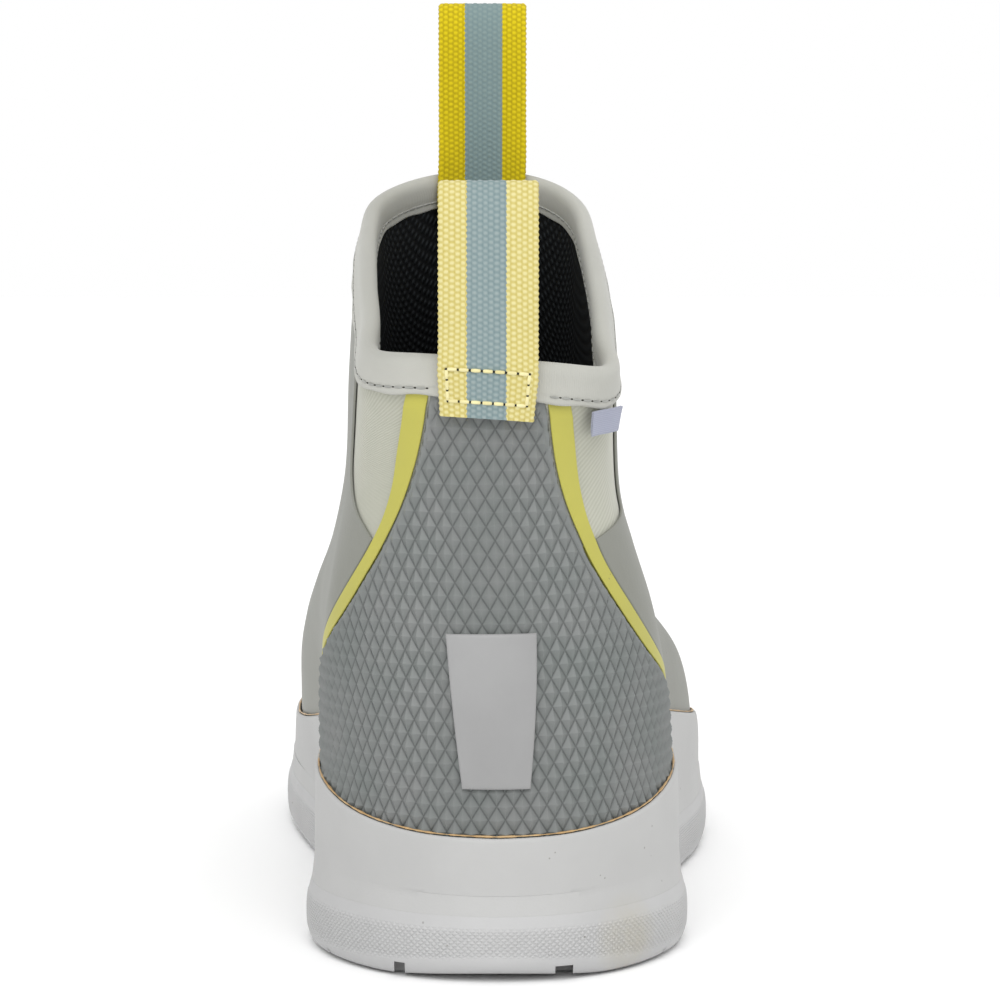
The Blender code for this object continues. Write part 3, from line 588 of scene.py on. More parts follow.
def make_midsole():
    """The smooth sole wall, with a rounded top edge against the upper and a hollow inside."""
    rings = []
    foot = ((2.9, 6.0), (2.9, 14.5), (6.0, 14.5), (5.9, 15.4), (5.75, 16.6), (5.6, 18.0), (5.5, 19.2))
    for off, z in foot:
        rings.append(lambda t, off=off, z=z: outline(t, off, z))
    for f in np.linspace(0.12, 0.93, 14):
        off = 5.4 - 0.45 * f
        rings.append(lambda t, f=f, off=off: skin(t, wall_share(t) * f, off + flare(t, 6.0) * (1 - f)))
    for a in np.linspace(0.0, math.pi, 7):
        off, f = 4.35 + 0.6 * math.cos(a), 0.96 + 0.04 * math.sin(a)
        rings.append(lambda t, f=f, off=off: skin(t, wall_share(t) * f, np.full_like(t, off)))
    for f in (0.6, 0.3, 0.05):
        rings.append(lambda t, f=f: skin(t, wall_share(t) * f, np.full_like(t, 3.75)))
    rings.append(lambda t: outline(t, 3.8, 16.6))
    for off, z, shares in ((3.0, 16.6, (1.0, 0.5, 0.0)), (2.0, 6.0, (0.0, 0.5, 1.0))):
        for k in shares:
            rings.append(lambda t, off=off, z=z, k=k: spine(outline(t, off, z), k))
    return dress(wrapped("midsole_wall", rings, 421), FOAM, "boot", "midsole")


def spine(ring, k):
    """A ring drawn in towards the line down the middle of the sole."""
    mirror = ring[::-1]
    middle = (ring + mirror) / 2
    out = middle.copy()
    out[:, 0] = middle[:, 0] + (ring[:, 0] - mirror[:, 0]) / 2 * k
    return out


GROOVE_WIDE, GROOVE_DEEP, GROOVE_STEP = 1.6, 1.7, 13.0
LATTICE_W, LATTICE_H, LATTICE_TALL = 0.8, 0.65, 0.2  # the fine diamonds on the sole's side band


def make_outsole():
    """The tread unit: a side band pressed with a fine diamond lattice, over a grooved sole."""
    fan = np.linspace(0, 360, 721)
    walk = run(outline(fan, 7.0, 7.0)[None], 1)[0]
    cells = int(walk[-1] / LATTICE_W / 2) * 2
    at = np.interp(np.linspace(0, walk[-1], cells + 1), walk, fan)
    off_knots = (3.3, 4.9, 6.1, 6.8, 7.1, 7.2, 7.1, 6.85, 6.4, 6.05)
    z_knots = (0.0, 0.15, 0.9, 2.4, 4.4, 7.3, 9.6, 11.5, 13.3, 14.5)
    length = run(np.stack((off_knots, z_knots), -1)[None], 1)[0]
    rows = int(length[-1] / LATTICE_H)
    place = np.linspace(0, length[-1], rows + 1)
    off, z = curve(length, off_knots, place), curve(length, z_knots, place)
    t, off = np.meshgrid(at, off)
    z = np.repeat(z[:, None], cells + 1, 1)
    j, i = np.meshgrid(np.arange(rows + 1), np.arange(cells + 1), indexing="ij")
    low = 2.6 + 2.6 * np.clip(1 - np.minimum(t, 360 - t) / 28.0, 0, 1)
    fade = np.clip((z - low) / 1.2, 0, 1) * np.clip((12.2 - z) / 1.2, 0, 1)
    high = (i + j) % 2 == 0
    band = outline(t, off + np.where(high, LATTICE_TALL, -LATTICE_TALL) * fade, z)
    inner = [outline(at, 3.3, 14.5), outline(at, 3.3, 5.3)]
    inner += [spine(outline(at, 2.5, 5.2), k) for k in (1.0, 0.5, 0.0)]
    under = [spine(outline(at, 3.2, 0.0), k) for k in (0.0, 0.33, 0.67, 0.9)]
    grid = np.array(under + list(band) + inner)
    rising = np.zeros((len(grid) - 1, cells), bool)
    rising[len(under):len(under) + rows] = ~high[:-1, :-1]
    o = laid("outsole_unit", grid, weld=True, smooth=14.0, rising=rising)
    outward(o)
    cutters = [groove(GROOVE_STEP * (k + 0.5)) for k in range(-10, 10)]
    cutters += [notch(-21.7, 2.4), notch(14.9, 4.0)]
    only(cutters[0])
    for c in cutters:
        c.select_set(True)
    bpy.ops.object.join()
    apply(o, "BOOLEAN", operation="DIFFERENCE", solver="EXACT", use_self=True, object=cutters[0])
    bpy.data.objects.remove(cutters[0], do_unlink=True)
    return dress(o, TREAD, "boot", "outsole")


def outward(o):
    """Turns every face of a closed piece outwards."""
    only(o)
    bpy.ops.object.mode_set(mode="EDIT")
    bpy.ops.mesh.select_all(action="SELECT")
    bpy.ops.mesh.normals_make_consistent(inside=False)
    bpy.ops.object.mode_set(mode="OBJECT")


def groove(y):
    """A cutter for one zigzag groove of the tread."""
    x = np.linspace(-75.0, 75.0, 25)
    zig = np.abs((x / 25.0 + 1) % 2 - 1) * 6.0 - 3.0
    top = GROOVE_DEEP + spring(y)
    box = ((-1, -3.0), (1, -3.0), (1, top), (-1, top), (-1, -3.0))
    side = [(way * GROOVE_WIDE / 2, dz) for way, dz in box]
    tube = np.array([[(a, y + b + dy, dz) for a, b in zip(x, zig)] for dy, dz in side])
    ends = np.repeat(tube.mean(axis=0)[None, [0, -1]], len(side), 0)
    o = laid("groove", np.concatenate((ends[:, :1], tube, ends[:, 1:]), axis=1), weld=True)
    outward(o)
    return o


def notch(x, wide):
    """A cutter for one of the short channels that run out at the back of the heel."""
    bpy.ops.object.select_all(action="DESELECT")
    bpy.ops.mesh.primitive_cube_add(size=1.0)
    o = bpy.context.object
    bpy.ops.object.mode_set(mode="EDIT")
    bpy.ops.mesh.select_all(action="SELECT")
    bpy.ops.transform.resize(value=(wide * MM, 0.022, 0.0064))
    bpy.ops.transform.translate(value=(x * MM, -0.150, 0.0))
    bpy.ops.object.mode_set(mode="OBJECT")
    return o


def make_cement():
    """A line of squeezed-out cement along the top of the midsole wall, uneven in width."""
    def ring(a):
        def at(t):
            top = wall_share(t)
            rate = np.linalg.norm(last(t, top + 0.02) - last(t, top), axis=-1) / 0.02
            r = 0.17 + 0.08 * np.sin(t * 0.9) * np.sin(t * 0.37 + 1.0) + 0.04 * np.sin(t * 3.0)
            up = top + (0.35 + r * math.sin(a)) / rate
            return skin(t, up, 4.05 + r * 1.3 * math.cos(a))
        return at
    rings = [ring(-k / 8 * math.tau) for k in range(8)]
    return dress(wrapped("cement_bead", rings, 721, flip=True), CEMENT, "boot", "cement_line")


# ---------------------------------------------------------------- the upper

def seam(theta, v, gap=0.2):
    """Half a joint between panels, in degrees."""
    return gap / np.linalg.norm(last(theta + 0.5, v) - last(theta - 0.5, v), axis=-1)


def between(a, b, shares):
    """Values from a to b along each row."""
    return a[:, None] + (b - a)[:, None] * shares[None, :]


def lap(below):
    """How far the rubber is set back where the binding laps over it."""
    return THINNED * np.clip((7.5 - below) / 2.5, 0, 1)


def border(points, axes=(0, 1)):
    """How far each point of a laid grid is from the nearest edge of it."""
    walks = [run(points, axis) for axis in axes]
    ends = [np.take(walk, [-1], axis) for walk, axis in zip(walks, axes)]
    return np.minimum.reduce([np.minimum(walk, end - walk) for walk, end in zip(walks, ends)])


def rubber_piece(name, start, end, levels, cols, wide, out=SHELL_OUT, edge=0.55):
    """A moulded panel between two edges, with rounded edges and its real thickness."""
    across = spaced(cols, wide, edge * 1.6)
    t = between(start(levels), end(levels), across)
    share = np.minimum(levels[:, None] / levels[-1] * (1 - RUBBER_TOP / climb(t)), 1.0)
    t = between(start(share[:, 0]), end(share[:, -1]), across)
    side = border(skin(t, share, np.full(t.shape, out)), axes=(1,))
    o = laid(name, skin(t, share, out - lap((1 - share) * climb(t)) - rounded(side, edge)))
    apply(o, "SOLIDIFY", thickness=RUBBER * MM, offset=-1.0)
    return o


def edge_of(values, sign, step):
    """The edge of a panel, a function of the share; step is 1 or -1, past the joint or short of it."""
    def at(v):
        t = sign * curve(EDGE_V, values, v)
        return t + step * seam(t, v)
    return at


def gore_edge(stripe, gore, sign):
    """The shell's rear edge: along the stripe, then round the gore."""
    def at(v):
        t = curve(EDGE_V, stripe, v)
        g = curve(GORE_V, gore, np.maximum(v, GORE_V[0]))
        t = np.where(v > GORE_V[0], np.maximum(t, g), t)
        return sign * (t + seam(t, v))
    return at


def make_shell():
    """The one-piece moulded vamp and shaft, with a gore left open on each side."""
    parts = ((0.0, 0.62, 70), (0.62, 0.76, 60), (0.76, 0.975, 34))
    levels = [np.linspace(a, b, count, endpoint=b == parts[-1][1]) for a, b, count in parts]
    lateral = gore_edge(STRIPE_LATERAL, GORE_LATERAL, 1)
    medial = gore_edge(STRIPE_MEDIAL, GORE_MEDIAL, -1)
    o = rubber_piece("vamp_and_shaft", lateral, lambda v: 360 + medial(v), np.concatenate(levels), 240, 300.0)
    return dress(o, SATIN, "boot", "vamp_shell")


def make_stripes():
    """The yellow inlay down each side of the heel panel."""
    edges = (("lateral", 1, HEEL_LATERAL, STRIPE_LATERAL), ("medial", -1, HEEL_MEDIAL, STRIPE_MEDIAL))
    for side, sign, inner, outer in edges:
        near, far = edge_of(inner, sign, sign), edge_of(outer, sign, -sign)
        start, end = (near, far) if sign > 0 else (far, near)
        levels = np.linspace(0.0, 0.975, 260)
        o = rubber_piece(side + "_inlay", start, end, levels, 8, 5.5, out=SHELL_OUT + 0.08, edge=0.35)
        dress(o, YELLOW, "boot", side + "_stripe")


DIAMOND_W, DIAMOND_H = 1.9, 3.1  # half the width and half the height of a raised diamond
FINE = 3  # grid steps to half a diamond, both ways
PANEL_REACH = 96.0  # how far round from the back the heel panel may run


def heel_grid():
    """The heel panel's grid: angles, shares, height of each row, and columns to each side."""
    du, dw = DIAMOND_W / FINE, DIAMOND_H / FINE
    v_line = np.linspace(0.02, 1.0, 600)
    up = run(skin(np.zeros(600), v_line, np.full(600, SHELL_OUT))[None], 1)[0]
    start, top = np.interp((0.10, 1 - RUBBER_TOP / climb(np.zeros(1))[0]), v_line, up)
    height = np.arange(int((top - start) / dw) + 1) * dw
    v = np.interp(start + height, up, v_line)
    reach = int(PANEL_REACH / du)
    columns = np.arange(-reach, reach + 1) * du
    fan = np.linspace(-82, 82, 660)
    left, right = edge_of(HEEL_MEDIAL, -1, 1)(v), edge_of(HEEL_LATERAL, 1, -1)(v)
    theta = np.zeros((len(v), len(columns)))
    for k in range(len(v)):
        walk = run(skin(fan, np.full(660, v[k]), np.full(660, SHELL_OUT))[None], 1)[0]
        walk -= np.interp(0.0, fan, walk)
        lo, hi = np.interp((left[k], right[k]), fan, walk)
        theta[k] = np.interp(np.clip(columns, lo, hi), walk, fan)
    share = np.repeat(v[:, None], len(columns), 1)
    share[-1] = 1 - RUBBER_TOP / climb(theta[-1])
    return theta, share, height, reach


def make_heel_panel():
    """The heel panel: rows of raised four-sided diamonds that run to a narrow smooth border."""
    theta, share, height, reach = heel_grid()
    side = border(skin(theta, share, np.full(theta.shape, SHELL_OUT)), axes=(1,))
    step_u, step_w = np.arange(-reach, reach + 1)[None, :], np.arange(len(height))[:, None]
    p, q = (step_u + step_w) / (2 * FINE), (step_u - step_w) / (2 * FINE)
    peak = 1 - 2 * np.maximum(np.abs(p - np.rint(p)), np.abs(q - np.rint(q)))
    below = (1 - share) * climb(theta)
    inside = np.clip((side - 0.9) / 0.6, 0, 1) * np.clip((below - 5.2) / 1.0, 0, 1)
    tall = 0.9 + 0.15 * np.clip((100 - height[:, None]) / 60, 0, 1)
    off = SHELL_OUT - 0.3 * inside + tall * peak * inside - rounded(side, 0.4) - lap(below)
    cell_u, cell_w = (step_u[:, :-1] + 0.5) / FINE % 2, (step_w[:-1] + 0.5) / FINE % 2
    rising = (np.floor(cell_u) + np.floor(cell_w)) % 2 == 1
    moved = np.any(np.diff(theta, axis=1) > 1e-9, axis=0)
    first, final = np.flatnonzero(np.append(moved, False) | np.append(False, moved))[[0, -1]]
    kept = slice(first, final + 1)
    # relief is the height within each diamond; the material paints shade into the valleys where it is low.
    relief = np.where(inside > 0, peak * inside + (1 - inside), 1.0)
    o = laid("heel_diamond_panel", skin(theta, share, off)[:, kept], weld=True, smooth=22.0,
             relief=relief[:, kept], rising=rising[:, first:final])
    apply(o, "SOLIDIFY", thickness=RUBBER * MM, offset=-1.0)
    return dress(o, DIAMOND, "boot", "heel_panel")


def make_kick_plate():
    """The smooth plate that the other foot pushes down on to take the boot off."""
    f, a = spaced(26, 30.0, 1.4), spaced(22, 20.0, 1.4)
    v = 0.205 + (0.468 - 0.205) * f
    half = 5.9 + (9.2 - 5.9) * f
    t = (2 * a[None, :] - 1) * half[:, None]
    share = np.repeat(v[:, None], len(a), 1)
    side = border(skin(t, share, np.full(t.shape, 4.7)))
    o = laid("kick_plate_face", skin(t, share, 4.75 - rounded(side, 0.7)))
    apply(o, "SOLIDIFY", thickness=1.3 * MM, offset=-1.0)
    return dress(o, PLATE, "boot", "kick_plate")


def make_bumper():
    """The ribbed toe bumper."""
    t, f = np.meshgrid(132.0 + 96.0 * spaced(200, 140.0, 1.2), spaced(26, 18.0, 1.2))
    low = wall_share(t) + 0.02
    v = low + (0.24 - low) * f * (1 - 0.7 * (np.abs(t - 180.0) / 48.0) ** 3)
    base = skin(t, v, np.full(t.shape, 5.0))
    side = border(base)
    ribs = np.clip(np.sin(run(base, 0) / 2.6 * math.tau) * 1.5, -1, 1)
    rib = 0.25 * ribs * np.clip((side - 1.2) / 0.8, 0, 1)
    o = laid("toe_bumper_ribs", skin(t, v, 4.9 + rib - rounded(side, 0.6)))
    apply(o, "SOLIDIFY", thickness=1.1 * MM, offset=-1.0)
    return dress(o, SATIN, "boot", "toe_bumper")


def make_bootie():
    """The stretch bootie that shows in the two gores, swelling a little in each."""
    levels = np.concatenate((np.linspace(0.0, 0.6, 30, endpoint=False), np.linspace(0.6, 0.985, 70)))
    t, v = np.meshgrid(np.linspace(0, 360, 301), levels)
    swell = np.clip((v - 0.6) / 0.03, 0, 1)
    o = laid("stretch_bootie", skin(t, v, 1.1 + 1.35 * swell), weld=True)
    apply(o, "SOLIDIFY", thickness=1.1 * MM, offset=-1.0)
    return dress(o, KNIT, "boot", "neoprene_bootie")


def sink(theta, v):
    """How far the lining gives way behind the heel counter and toe puff."""
    side = np.minimum(theta % 360, 360 - theta % 360)
    heel = np.clip((74.0 - side) / 12.0, 0, 1) * np.clip((0.56 - v) / 0.06, 0, 1)
    toe = np.clip((side - 122.0) / 12.0, 0, 1) * np.clip((0.44 - v) / 0.06, 0, 1)
    return 1.3 * np.maximum(heel, toe)


def make_lining():
    """The mesh lining, a sock open at the top."""
    levels = np.concatenate(((0.0,), np.linspace(0.01, 0.99, 110)))
    t, v = np.meshgrid(np.linspace(0, 360, 241), levels)
    side = skin(t, v, -0.65 - sink(t, v))
    floor = [spine(side[0], k) for k in (0.0, 0.35, 0.7)]
    o = laid("mesh_sock", np.concatenate((np.array(floor), side)), weld=True)
    apply(o, "SOLIDIFY", thickness=0.8 * MM, offset=-1.0)
    return dress(o, NET, "boot", "lining")


def make_footbed():
    """The footbed cover, with its raised heel cup."""
    ring = skin(np.linspace(0, 360, 241), np.full(241, 0.058), np.full(241, -3.9))
    rows = []
    for k in (0.0, 0.2, 0.4, 0.6, 0.75, 0.86, 0.94, 0.98, 1.0):
        rows.append(spine(ring, k) + np.array((0, 0, 1.2 * k ** 4 - 0.5)))
    low = [spine(ring, k) - np.array((0, 0, 1.0)) for k in (1.0, 0.5, 0.0)]
    o = laid("footbed_top", np.array(rows + low), weld=True, flip=True)
    outward(o)
    return dress(o, BLACK_KNIT, "boot", "footbed_cover")


# ---------------------------------------------------------------- the collar

COLLAR = (  # section of the binding: offset from the last, and distance below the topline
    (3.15, 4.7), (3.8, 4.7), (3.78, 4.0), (3.6, 3.0), (3.1, 1.4), (2.65, -0.4), (2.42, -1.9), (2.0, -3.1),
    (1.2, -3.85), (0.25, -4.1), (-0.7, -3.85), (-1.45, -3.1), (-1.85, -1.9), (-1.95, -0.2), (-1.95, 1.2),
    (-1.8, 2.1), (-1.78, 2.7), (-1.9, 3.2), (-1.98, 4.5), (-1.55, 4.5), (-1.55, 2.0), (-1.5, -1.9),
    (-1.0, -3.0), (0.2, -3.45), (1.3, -3.0), (1.95, -1.9), (2.15, 0.0), (3.05, 3.0))
HEM_STITCH = (-1.9, 2.4)


def make_binding():
    """The binding: rolled over foam at the rim, pressed flat below, and drawn in by its stitches."""
    path = np.array(COLLAR + COLLAR[:1])
    walk = run(path[None], 1)[0]
    s = np.linspace(0, walk[-1], 110)
    section = np.stack((np.interp(s, walk, path[:, 0]), np.interp(s, walk, path[:, 1])))
    for _ in range(3):
        section[:, 1:-1] = (section[:, :-2] + 2 * section[:, 1:-1] + section[:, 2:]) / 4
    t, off = np.meshgrid(np.linspace(0, 360, 721), section[0])
    below = np.repeat(section[1][:, None], 721, 1)
    out = off > 2.5
    groove = np.exp(-((below - STITCH_S) / 0.45) ** 2) * out
    pucker = 0.5 + 0.5 * np.cos(np.radians(t) * 100)
    wave = 0.12 * np.sin(np.radians(t) * 23) * np.clip((below - 2.5) / 2.0, 0, 1)
    off = off - groove * (0.16 + 0.16 * pucker) + wave * out
    o = laid("collar_binding_roll", rim(t, off, below + wave * 1.5), weld=True, smooth=60.0)
    return dress(o, JERSEY, "boot", "collar_binding")


def stitches(name, places, alongs, ups, length, radius):
    """A row of stitches: one short rounded thread, copied to each place along the seam."""
    bpy.ops.object.select_all(action="DESELECT")
    bpy.ops.mesh.primitive_uv_sphere_add(segments=8, ring_count=6, radius=radius * MM)
    seed = bpy.context.object
    bpy.ops.object.mode_set(mode="EDIT")
    for end in (1, -1):
        pick(seed, lambda c, end=end: c.z * end > radius * MM * 0.1)
        bpy.ops.transform.translate(value=(0, 0, end * (length / 2 - radius) * MM))
    bpy.ops.mesh.select_all(action="SELECT")
    bpy.ops.transform.resize(value=(1.0, 0.8, 1.0))
    bpy.ops.object.mode_set(mode="OBJECT")
    bpy.ops.object.shade_smooth()
    copies = []
    for place, along, up in zip(places, alongs, ups):
        along = along / np.linalg.norm(along)
        side = np.cross(up, along)
        side = side / np.linalg.norm(side)
        o = seed.copy()
        o.data = seed.data.copy()
        turn = np.column_stack((side, np.cross(along, side), along, place * MM))
        o.matrix_world = Matrix(turn.tolist()).to_4x4()
        bpy.context.scene.collection.objects.link(o)
        copies.append(o)
    bpy.data.objects.remove(seed, do_unlink=True)
    only(copies[0])
    for o in copies:
        o.select_set(True)
    bpy.ops.object.join()
    o = bpy.context.object
    bpy.ops.object.transform_apply(location=True, rotation=True, scale=True)
    o.name = o.data.name = name
    return o


def pick(o, wanted):
    """Selects, in edit mode, the vertices that pass a test of their place."""
    bpy.ops.mesh.select_all(action="DESELECT")
    bpy.ops.object.mode_set(mode="OBJECT")
    for vertex in o.data.vertices:
        vertex.select = wanted(vertex.co)
    bpy.ops.object.mode_set(mode="EDIT")


def seam_row(name, t, off, s, length, radius):
    """Stitches laid along the topline at angles t."""
    place = rim(t, off, s)
    along = rim(t + 1, off, s) - rim(t - 1, off, s)
    return stitches(name, place, along, rim(t, off + 1, s) - place, length, radius)


def make_collar_stitches():
    """The seam round the collar, with its needle holes, and the hem inside."""
    t = np.arange(0.0, 360.0, 3.6)
    behind_tails = (np.abs((t + 180) % 360 - 180) < 15) | (np.abs(t - 180) < 20)
    t = t[~behind_tails]
    dress(seam_row("collar_stitches", t, 3.42, STITCH_S, 2.2, 0.25), GREY_THREAD, "boot", "collar_stitch")
    holes = seam_row("collar_needle_holes", t + 1.8, 3.36, STITCH_S, 0.7, 0.22)
    dress(holes, HOLE, "boot", slot="collar_stitch")
    off, s = HEM_STITCH
    dress(seam_row("hem_stitches", t, off, s, 2.2, 0.25), GREY_THREAD, "boot", slot="collar_stitch")


# ---------------------------------------------------------------- the pull loops

ACROSS = np.linspace(-1, 1, 73)  # places across the strap, from edge to edge


def half_angle(off, mid):
    """The angle that half the webbing covers at this offset."""
    h = np.linspace(5.0, 30.0, 51)
    wide = np.abs(rim(mid + h, off, 0.0) - rim(mid - h, off, 0.0))[:, 0]
    return float(np.interp(WEB_WIDE, wide, h))


def loop_line(tall):
    """The loop's course from its outer foot over the top to its inner foot: out, and up."""
    g = LOOP_HALF_GAP
    line = [(g, LOOP_START), (g + 0.3, 12.0), (g + 0.3, 20.0), (g, tall - 10.5), (g * 0.82, tall - 5.5)]
    line += [(g * 0.45, tall - 2.0), (0.0, tall - WEB_THICK / 2)]
    return line + [(-e, h) for e, h in reversed(line[:-1])]


def strap_middle(mid, sign, tall, axis, up, out):
    """The middle of the strap's thickness: up one tail, over the loop and down the other."""
    outer, inner = TAIL_OUT + WEB_THICK / 2, -TAIL_IN - WEB_THICK / 2
    wide_out, wide_in = half_angle(outer, mid), half_angle(inner, mid)
    edge = rim(np.array([mid, mid + wide_out]), outer, 0.0)
    hollow = abs(edge[1, 1] - edge[0, 1])
    paths = []
    for a in ACROSS:
        points = [rim(mid - sign * a * wide_out, outer, s) for s in (8.6, 7.0, 5.0, 3.0, 1.0, -0.8)]
        for e, h in loop_line(tall):
            bow = hollow * max(0.0, 1 - (h - LOOP_START) / 16.0) ** 2
            points.append(axis + out * (e - bow * a * a) + up * h + np.array((a * WEB_WIDE / 2, 0, 0)))
        points += [rim(mid - sign * a * wide_in, inner, s) for s in (0.0, 1.5, 3.0, 5.0, 7.0, 8.6)]
        points = np.array(points)
        walk = run(points[None], 1)[0]
        s = np.linspace(0, walk[-1], 481)
        paths.append(np.stack([curve(walk, points[:, k], s) for k in range(3)], -1))
    return np.array(paths).transpose(1, 0, 2)


def woven(length, x):
    """Height of the weave, from 0 to 1: ribs along the strap, each a row of staggered floats."""
    rib = (x + WEB_WIDE / 2) / (WEB_WIDE / WEB_RIBS)
    ridge = np.abs(np.sin(rib * math.pi)) ** 0.7
    twist = 0.5 + 0.5 * np.sin(length / 1.3 * math.tau + np.floor(rib) * math.pi)
    return (0.35 + 0.65 * ridge) * (0.25 + 0.75 * twist)


def make_webbing(side, mid, tall, lean, material):
    """One strap: stitched tail, up over the loop, and down to the tail inside."""
    joint = next(j for j in frame["joints"] if j["name"] == side + "_loop_bend")
    axis = np.array(joint["pos_m"]) / MM
    sign = -1.0 if mid == 0 else 1.0
    up = np.array((0.0, math.sin(math.radians(lean)), math.cos(math.radians(lean))))
    out = np.array((0.0, sign * up[2], -sign * up[1]))
    grid = strap_middle(mid, sign, tall, axis, up, out)
    middle = len(ACROSS) // 2
    length = run(grid, 0)[:, middle:middle + 1]
    n = np.cross(np.gradient(grid, axis=0), np.gradient(grid, axis=1))
    n = n / np.linalg.norm(n, axis=-1, keepdims=True)
    x = ACROSS[None, :] * WEB_WIDE / 2
    weave = woven(length, x)
    edge = np.clip((WEB_WIDE / 2 - np.abs(x)) / 0.7, 0, 1)
    half = WEB_THICK / 2
    thick = ((half - 0.12 + 0.2 * weave) * np.sqrt(edge) * 0.9 + half * 0.1)[..., None]
    upper, lower = grid + n * thick, grid - n * thick
    scallop = 0.10 * np.sin(length[:, 0] / 1.26 * math.tau)
    for face in (upper, lower):
        face[:, 0, 0] -= scallop
        face[:, -1, 0] += scallop
    loop = np.concatenate((upper, lower[:, ::-1], upper[:, :1]), axis=1)
    # The weave's height goes to the material as relief, which paints shade where the weave is low.
    relief = np.concatenate((weave, weave[:, ::-1], weave[:, :1]), axis=1)
    caps = np.repeat(loop.mean(axis=1, keepdims=True)[[0, -1]], loop.shape[1], axis=1)
    rows = np.concatenate((caps[:1], loop, caps[1:]))
    relief = np.concatenate((relief[:1], relief, relief[-1:]))
    o = laid(side + "_webbing", rows, weld=True, smooth=50.0, relief=relief)
    fix_uv(o, axis)
    outward(o)
    o.data.materials.clear()
    o.data.materials.append(material)
    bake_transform(o)
    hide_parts(side + "_pull_loop", side + "_loop_outer_tail", side + "_loop_inner_tail")


def fix_uv(o, axis):
    """Sets the strap's UVs to millimetres across it and along it, the same on both faces."""
    mesh = o.data
    place = np.zeros(len(mesh.vertices) * 3)
    mesh.vertices.foreach_get("co", place)
    corner = np.zeros(len(mesh.loops), int)
    mesh.loops.foreach_get("vertex_index", corner)
    uv = np.zeros(len(mesh.loops) * 2)
    mesh.uv_layers[0].data.foreach_get("uv", uv)
    uv[0::2] = (place[0::3] / MM - axis[0] + WEB_WIDE / 2)[corner]
    mesh.uv_layers[0].data.foreach_set("uv", uv)


def make_box_stitch(side, mid):
    """The box of stitches through both tails, with a dark needle hole between stitches."""
    a = half_angle(5.5, mid) * 0.80
    off = TAIL_OUT + WEB_THICK + 0.02
    corners = [(-a, BOX_TOP), (a, BOX_TOP), (a, BOX_LOW), (-a, BOX_LOW), (-a, BOX_TOP)]
    rows = []
    for (t0, s0), (t1, s1) in zip(corners, corners[1:]):
        def at(f, out=off, t0=t0, s0=s0, t1=t1, s1=s1):
            return rim(mid + t0 + (t1 - t0) * f, out, s0 + (s1 - s0) * f)
        ends = at(np.array((0.0, 1.0)))
        count = max(2, int(round(np.linalg.norm(ends[1] - ends[0]) / 2.6)))
        f = (np.arange(count) + 0.5) / count
        place = at(f)
        rows.append((place, at(f + 0.02) - place, at(f, off + 1) - place, at(f - 0.5 / count, off + 0.02)))
    places, alongs, ups, holes = (np.concatenate(k) for k in zip(*rows))
    o = stitches(side + "_box_stitches", places, alongs, ups, 2.25, 0.44)
    dress(o, THREAD, "boot", side + "_loop_stitch")
    o = stitches(side + "_box_holes", holes, alongs, ups, 0.75, 0.28)
    dress(o, HOLE, "boot", slot=side + "_loop_stitch")


# ---------------------------------------------------------------- the label

LABEL_LEAN = 15.3  # degrees in from upright, as the side of the heel slopes


def make_label():
    """A folded tape tab, sewn under the binding and curling a little away from the boot."""
    joint = next(j for j in frame["joints"] if j["name"] == "side_label_flap")
    pivot = np.array(joint["pos_m"]) / MM
    along = -np.array(joint["axis"])
    along = along / np.linalg.norm(along)
    out = np.cross(along, (0, 0, 1.0))
    out = out / np.linalg.norm(out)
    down = np.cross(along, out)
    down = down * -np.sign(down[2])
    lean = math.radians(LABEL_LEAN)
    down, out = (down * math.cos(lean) - out * math.sin(lean),
                 out * math.cos(lean) + down * math.sin(lean))
    xs = np.linspace(-1, 1, 40)
    rows = []
    for face, qs in ((1, np.linspace(0, 1, 30)), (-1, np.linspace(1, 0, 30))):
        for q in qs:
            bulge = 0.28 * math.sqrt(max(0.0, 1 - q ** 6))
            middle = pivot + down * (q * 5.7) + out * (0.5 * q * q)
            half = 6.2 - 0.6 * q
            rows.append([middle + along * x * half + out * (face * bulge + 0.08 * math.sin(x * 4))
                         for x in xs])
    rows = np.array(rows + rows[:1])
    caps = np.repeat(rows[:, [0, -1]].mean(axis=0)[None], len(rows), 0)
    closed = np.concatenate((caps[:, :1], rows, caps[:, 1:]), axis=1)
    o = laid("label_tab", closed, weld=True, smooth=60.0)
    outward(o)
    return dress(o, TAPE, "label", "side_label")


make_midsole()
make_outsole()
make_cement()
make_shell()
make_stripes()
make_heel_panel()
make_kick_plate()
make_bumper()
make_bootie()
make_lining()
make_footbed()
make_binding()
make_collar_stitches()
make_webbing("rear", 0.0, REAR_TALL, 0.0, REAR_WEB)
make_webbing("front", 180.0, FRONT_TALL, -8.0, FRONT_WEB)
make_box_stitch("rear", 0.0)
make_box_stitch("front", 180.0)
make_label()

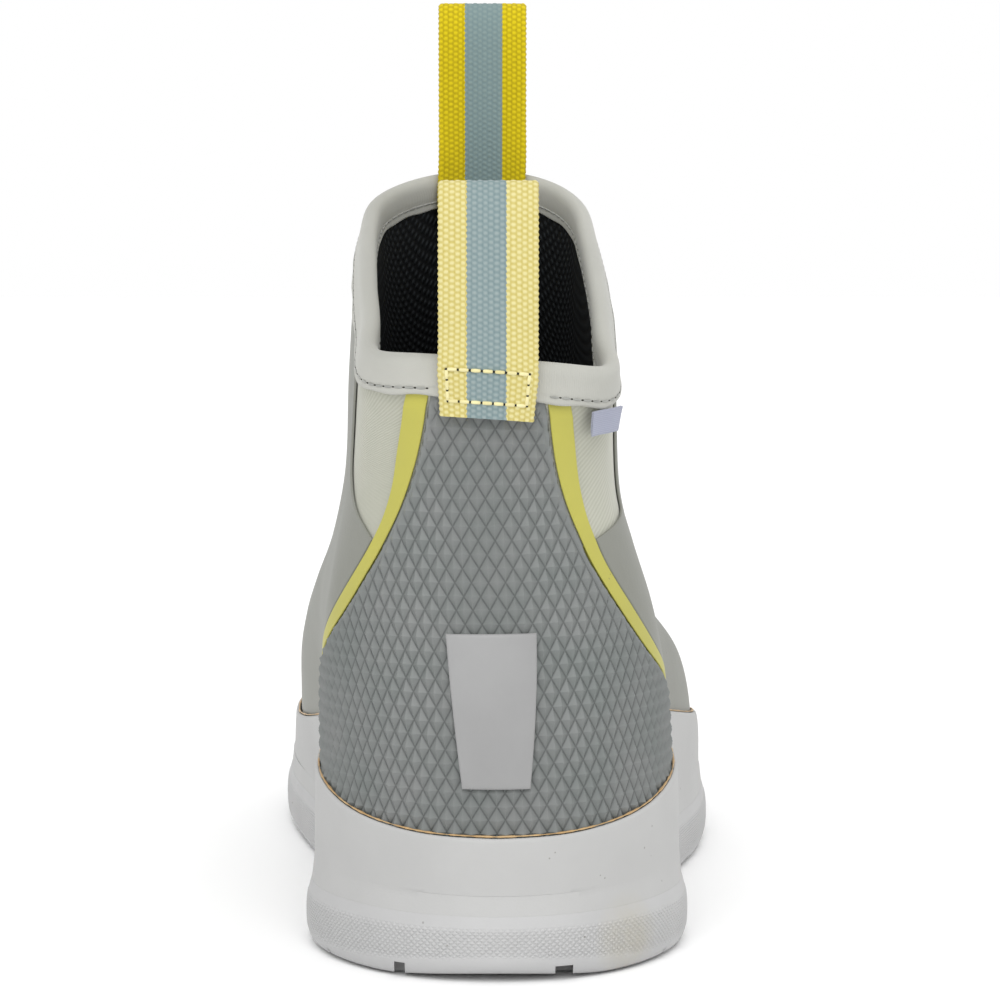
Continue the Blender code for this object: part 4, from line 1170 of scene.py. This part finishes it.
INNER_FINISHES = {"strobel_board": BOARD, "footbed_foam": BLACK_FOAM, "heel_counter": STIFF,
                  "toe_puff": STIFF, "collar_foam": CORE}
for name, material in INNER_FINISHES.items():
    node = frame["nodes"][name]
    node.data.materials.clear()
    node.data.materials.append(material)


# ---------------------------------------------------------------- floor, light and camera

def make_floor():
    bpy.ops.object.select_all(action="DESELECT")
    bpy.ops.mesh.primitive_plane_add(size=60.0, location=(0, 0, -0.0004))
    floor = bpy.context.object
    floor.name = "floor"
    m, _ = started("matt_white_paper", 0.9, Base_Color=tint("#ffffff"), Specular_IOR_Level=0.1)
    floor.data.materials.append(m)


def make_sun(name, turn, power, spread):
    """A very wide, soft light that shines evenly over the boot and the whole floor."""
    light = bpy.data.lights.new(name, "SUN")
    light.energy = power
    light.angle = math.radians(spread)
    o = bpy.data.objects.new(name, light)
    o.rotation_euler = [math.radians(k) for k in turn]
    bpy.context.scene.collection.objects.link(o)


def make_studio():
    """A white tent: bright near the horizon, dimmer overhead, with a soft key from high in front."""
    world = bpy.data.worlds.new("studio")
    bpy.context.scene.world = world
    world.use_nodes = True
    sky = world.node_tree.nodes["Background"]
    sky.inputs["Color"].default_value = (1, 1, 1, 1)
    part = add(world, "SeparateXYZ", {0: add(world, "TexCoord")["Generated"]})
    fade = add(world, "MapRange", {0: part[2], 1: 0.15, 2: 0.6, 3: 1.0, 4: 0.66})
    world.node_tree.links.new(fade[0], sky.inputs["Strength"])
    make_sun("key", (42, 0, -3), 1.45, 45)
    make_sun("fill", (20, 0, 140), 0.4, 90)
    bpy.context.scene.view_settings.view_transform = "Standard"


def make_camera():
    data = bpy.data.cameras.new("camera")
    data.lens = 112.36
    data.sensor_width = 36.0
    data.shift_x = 0.0127
    camera = bpy.data.objects.new("camera", data)
    bpy.context.scene.collection.objects.link(camera)
    camera.location = (-0.00215, -0.8304, 0.1540)
    camera.rotation_euler = (math.radians(90 - 3.986), 0, 0)
    bpy.context.scene.camera = camera


make_floor()
make_studio()
make_camera()
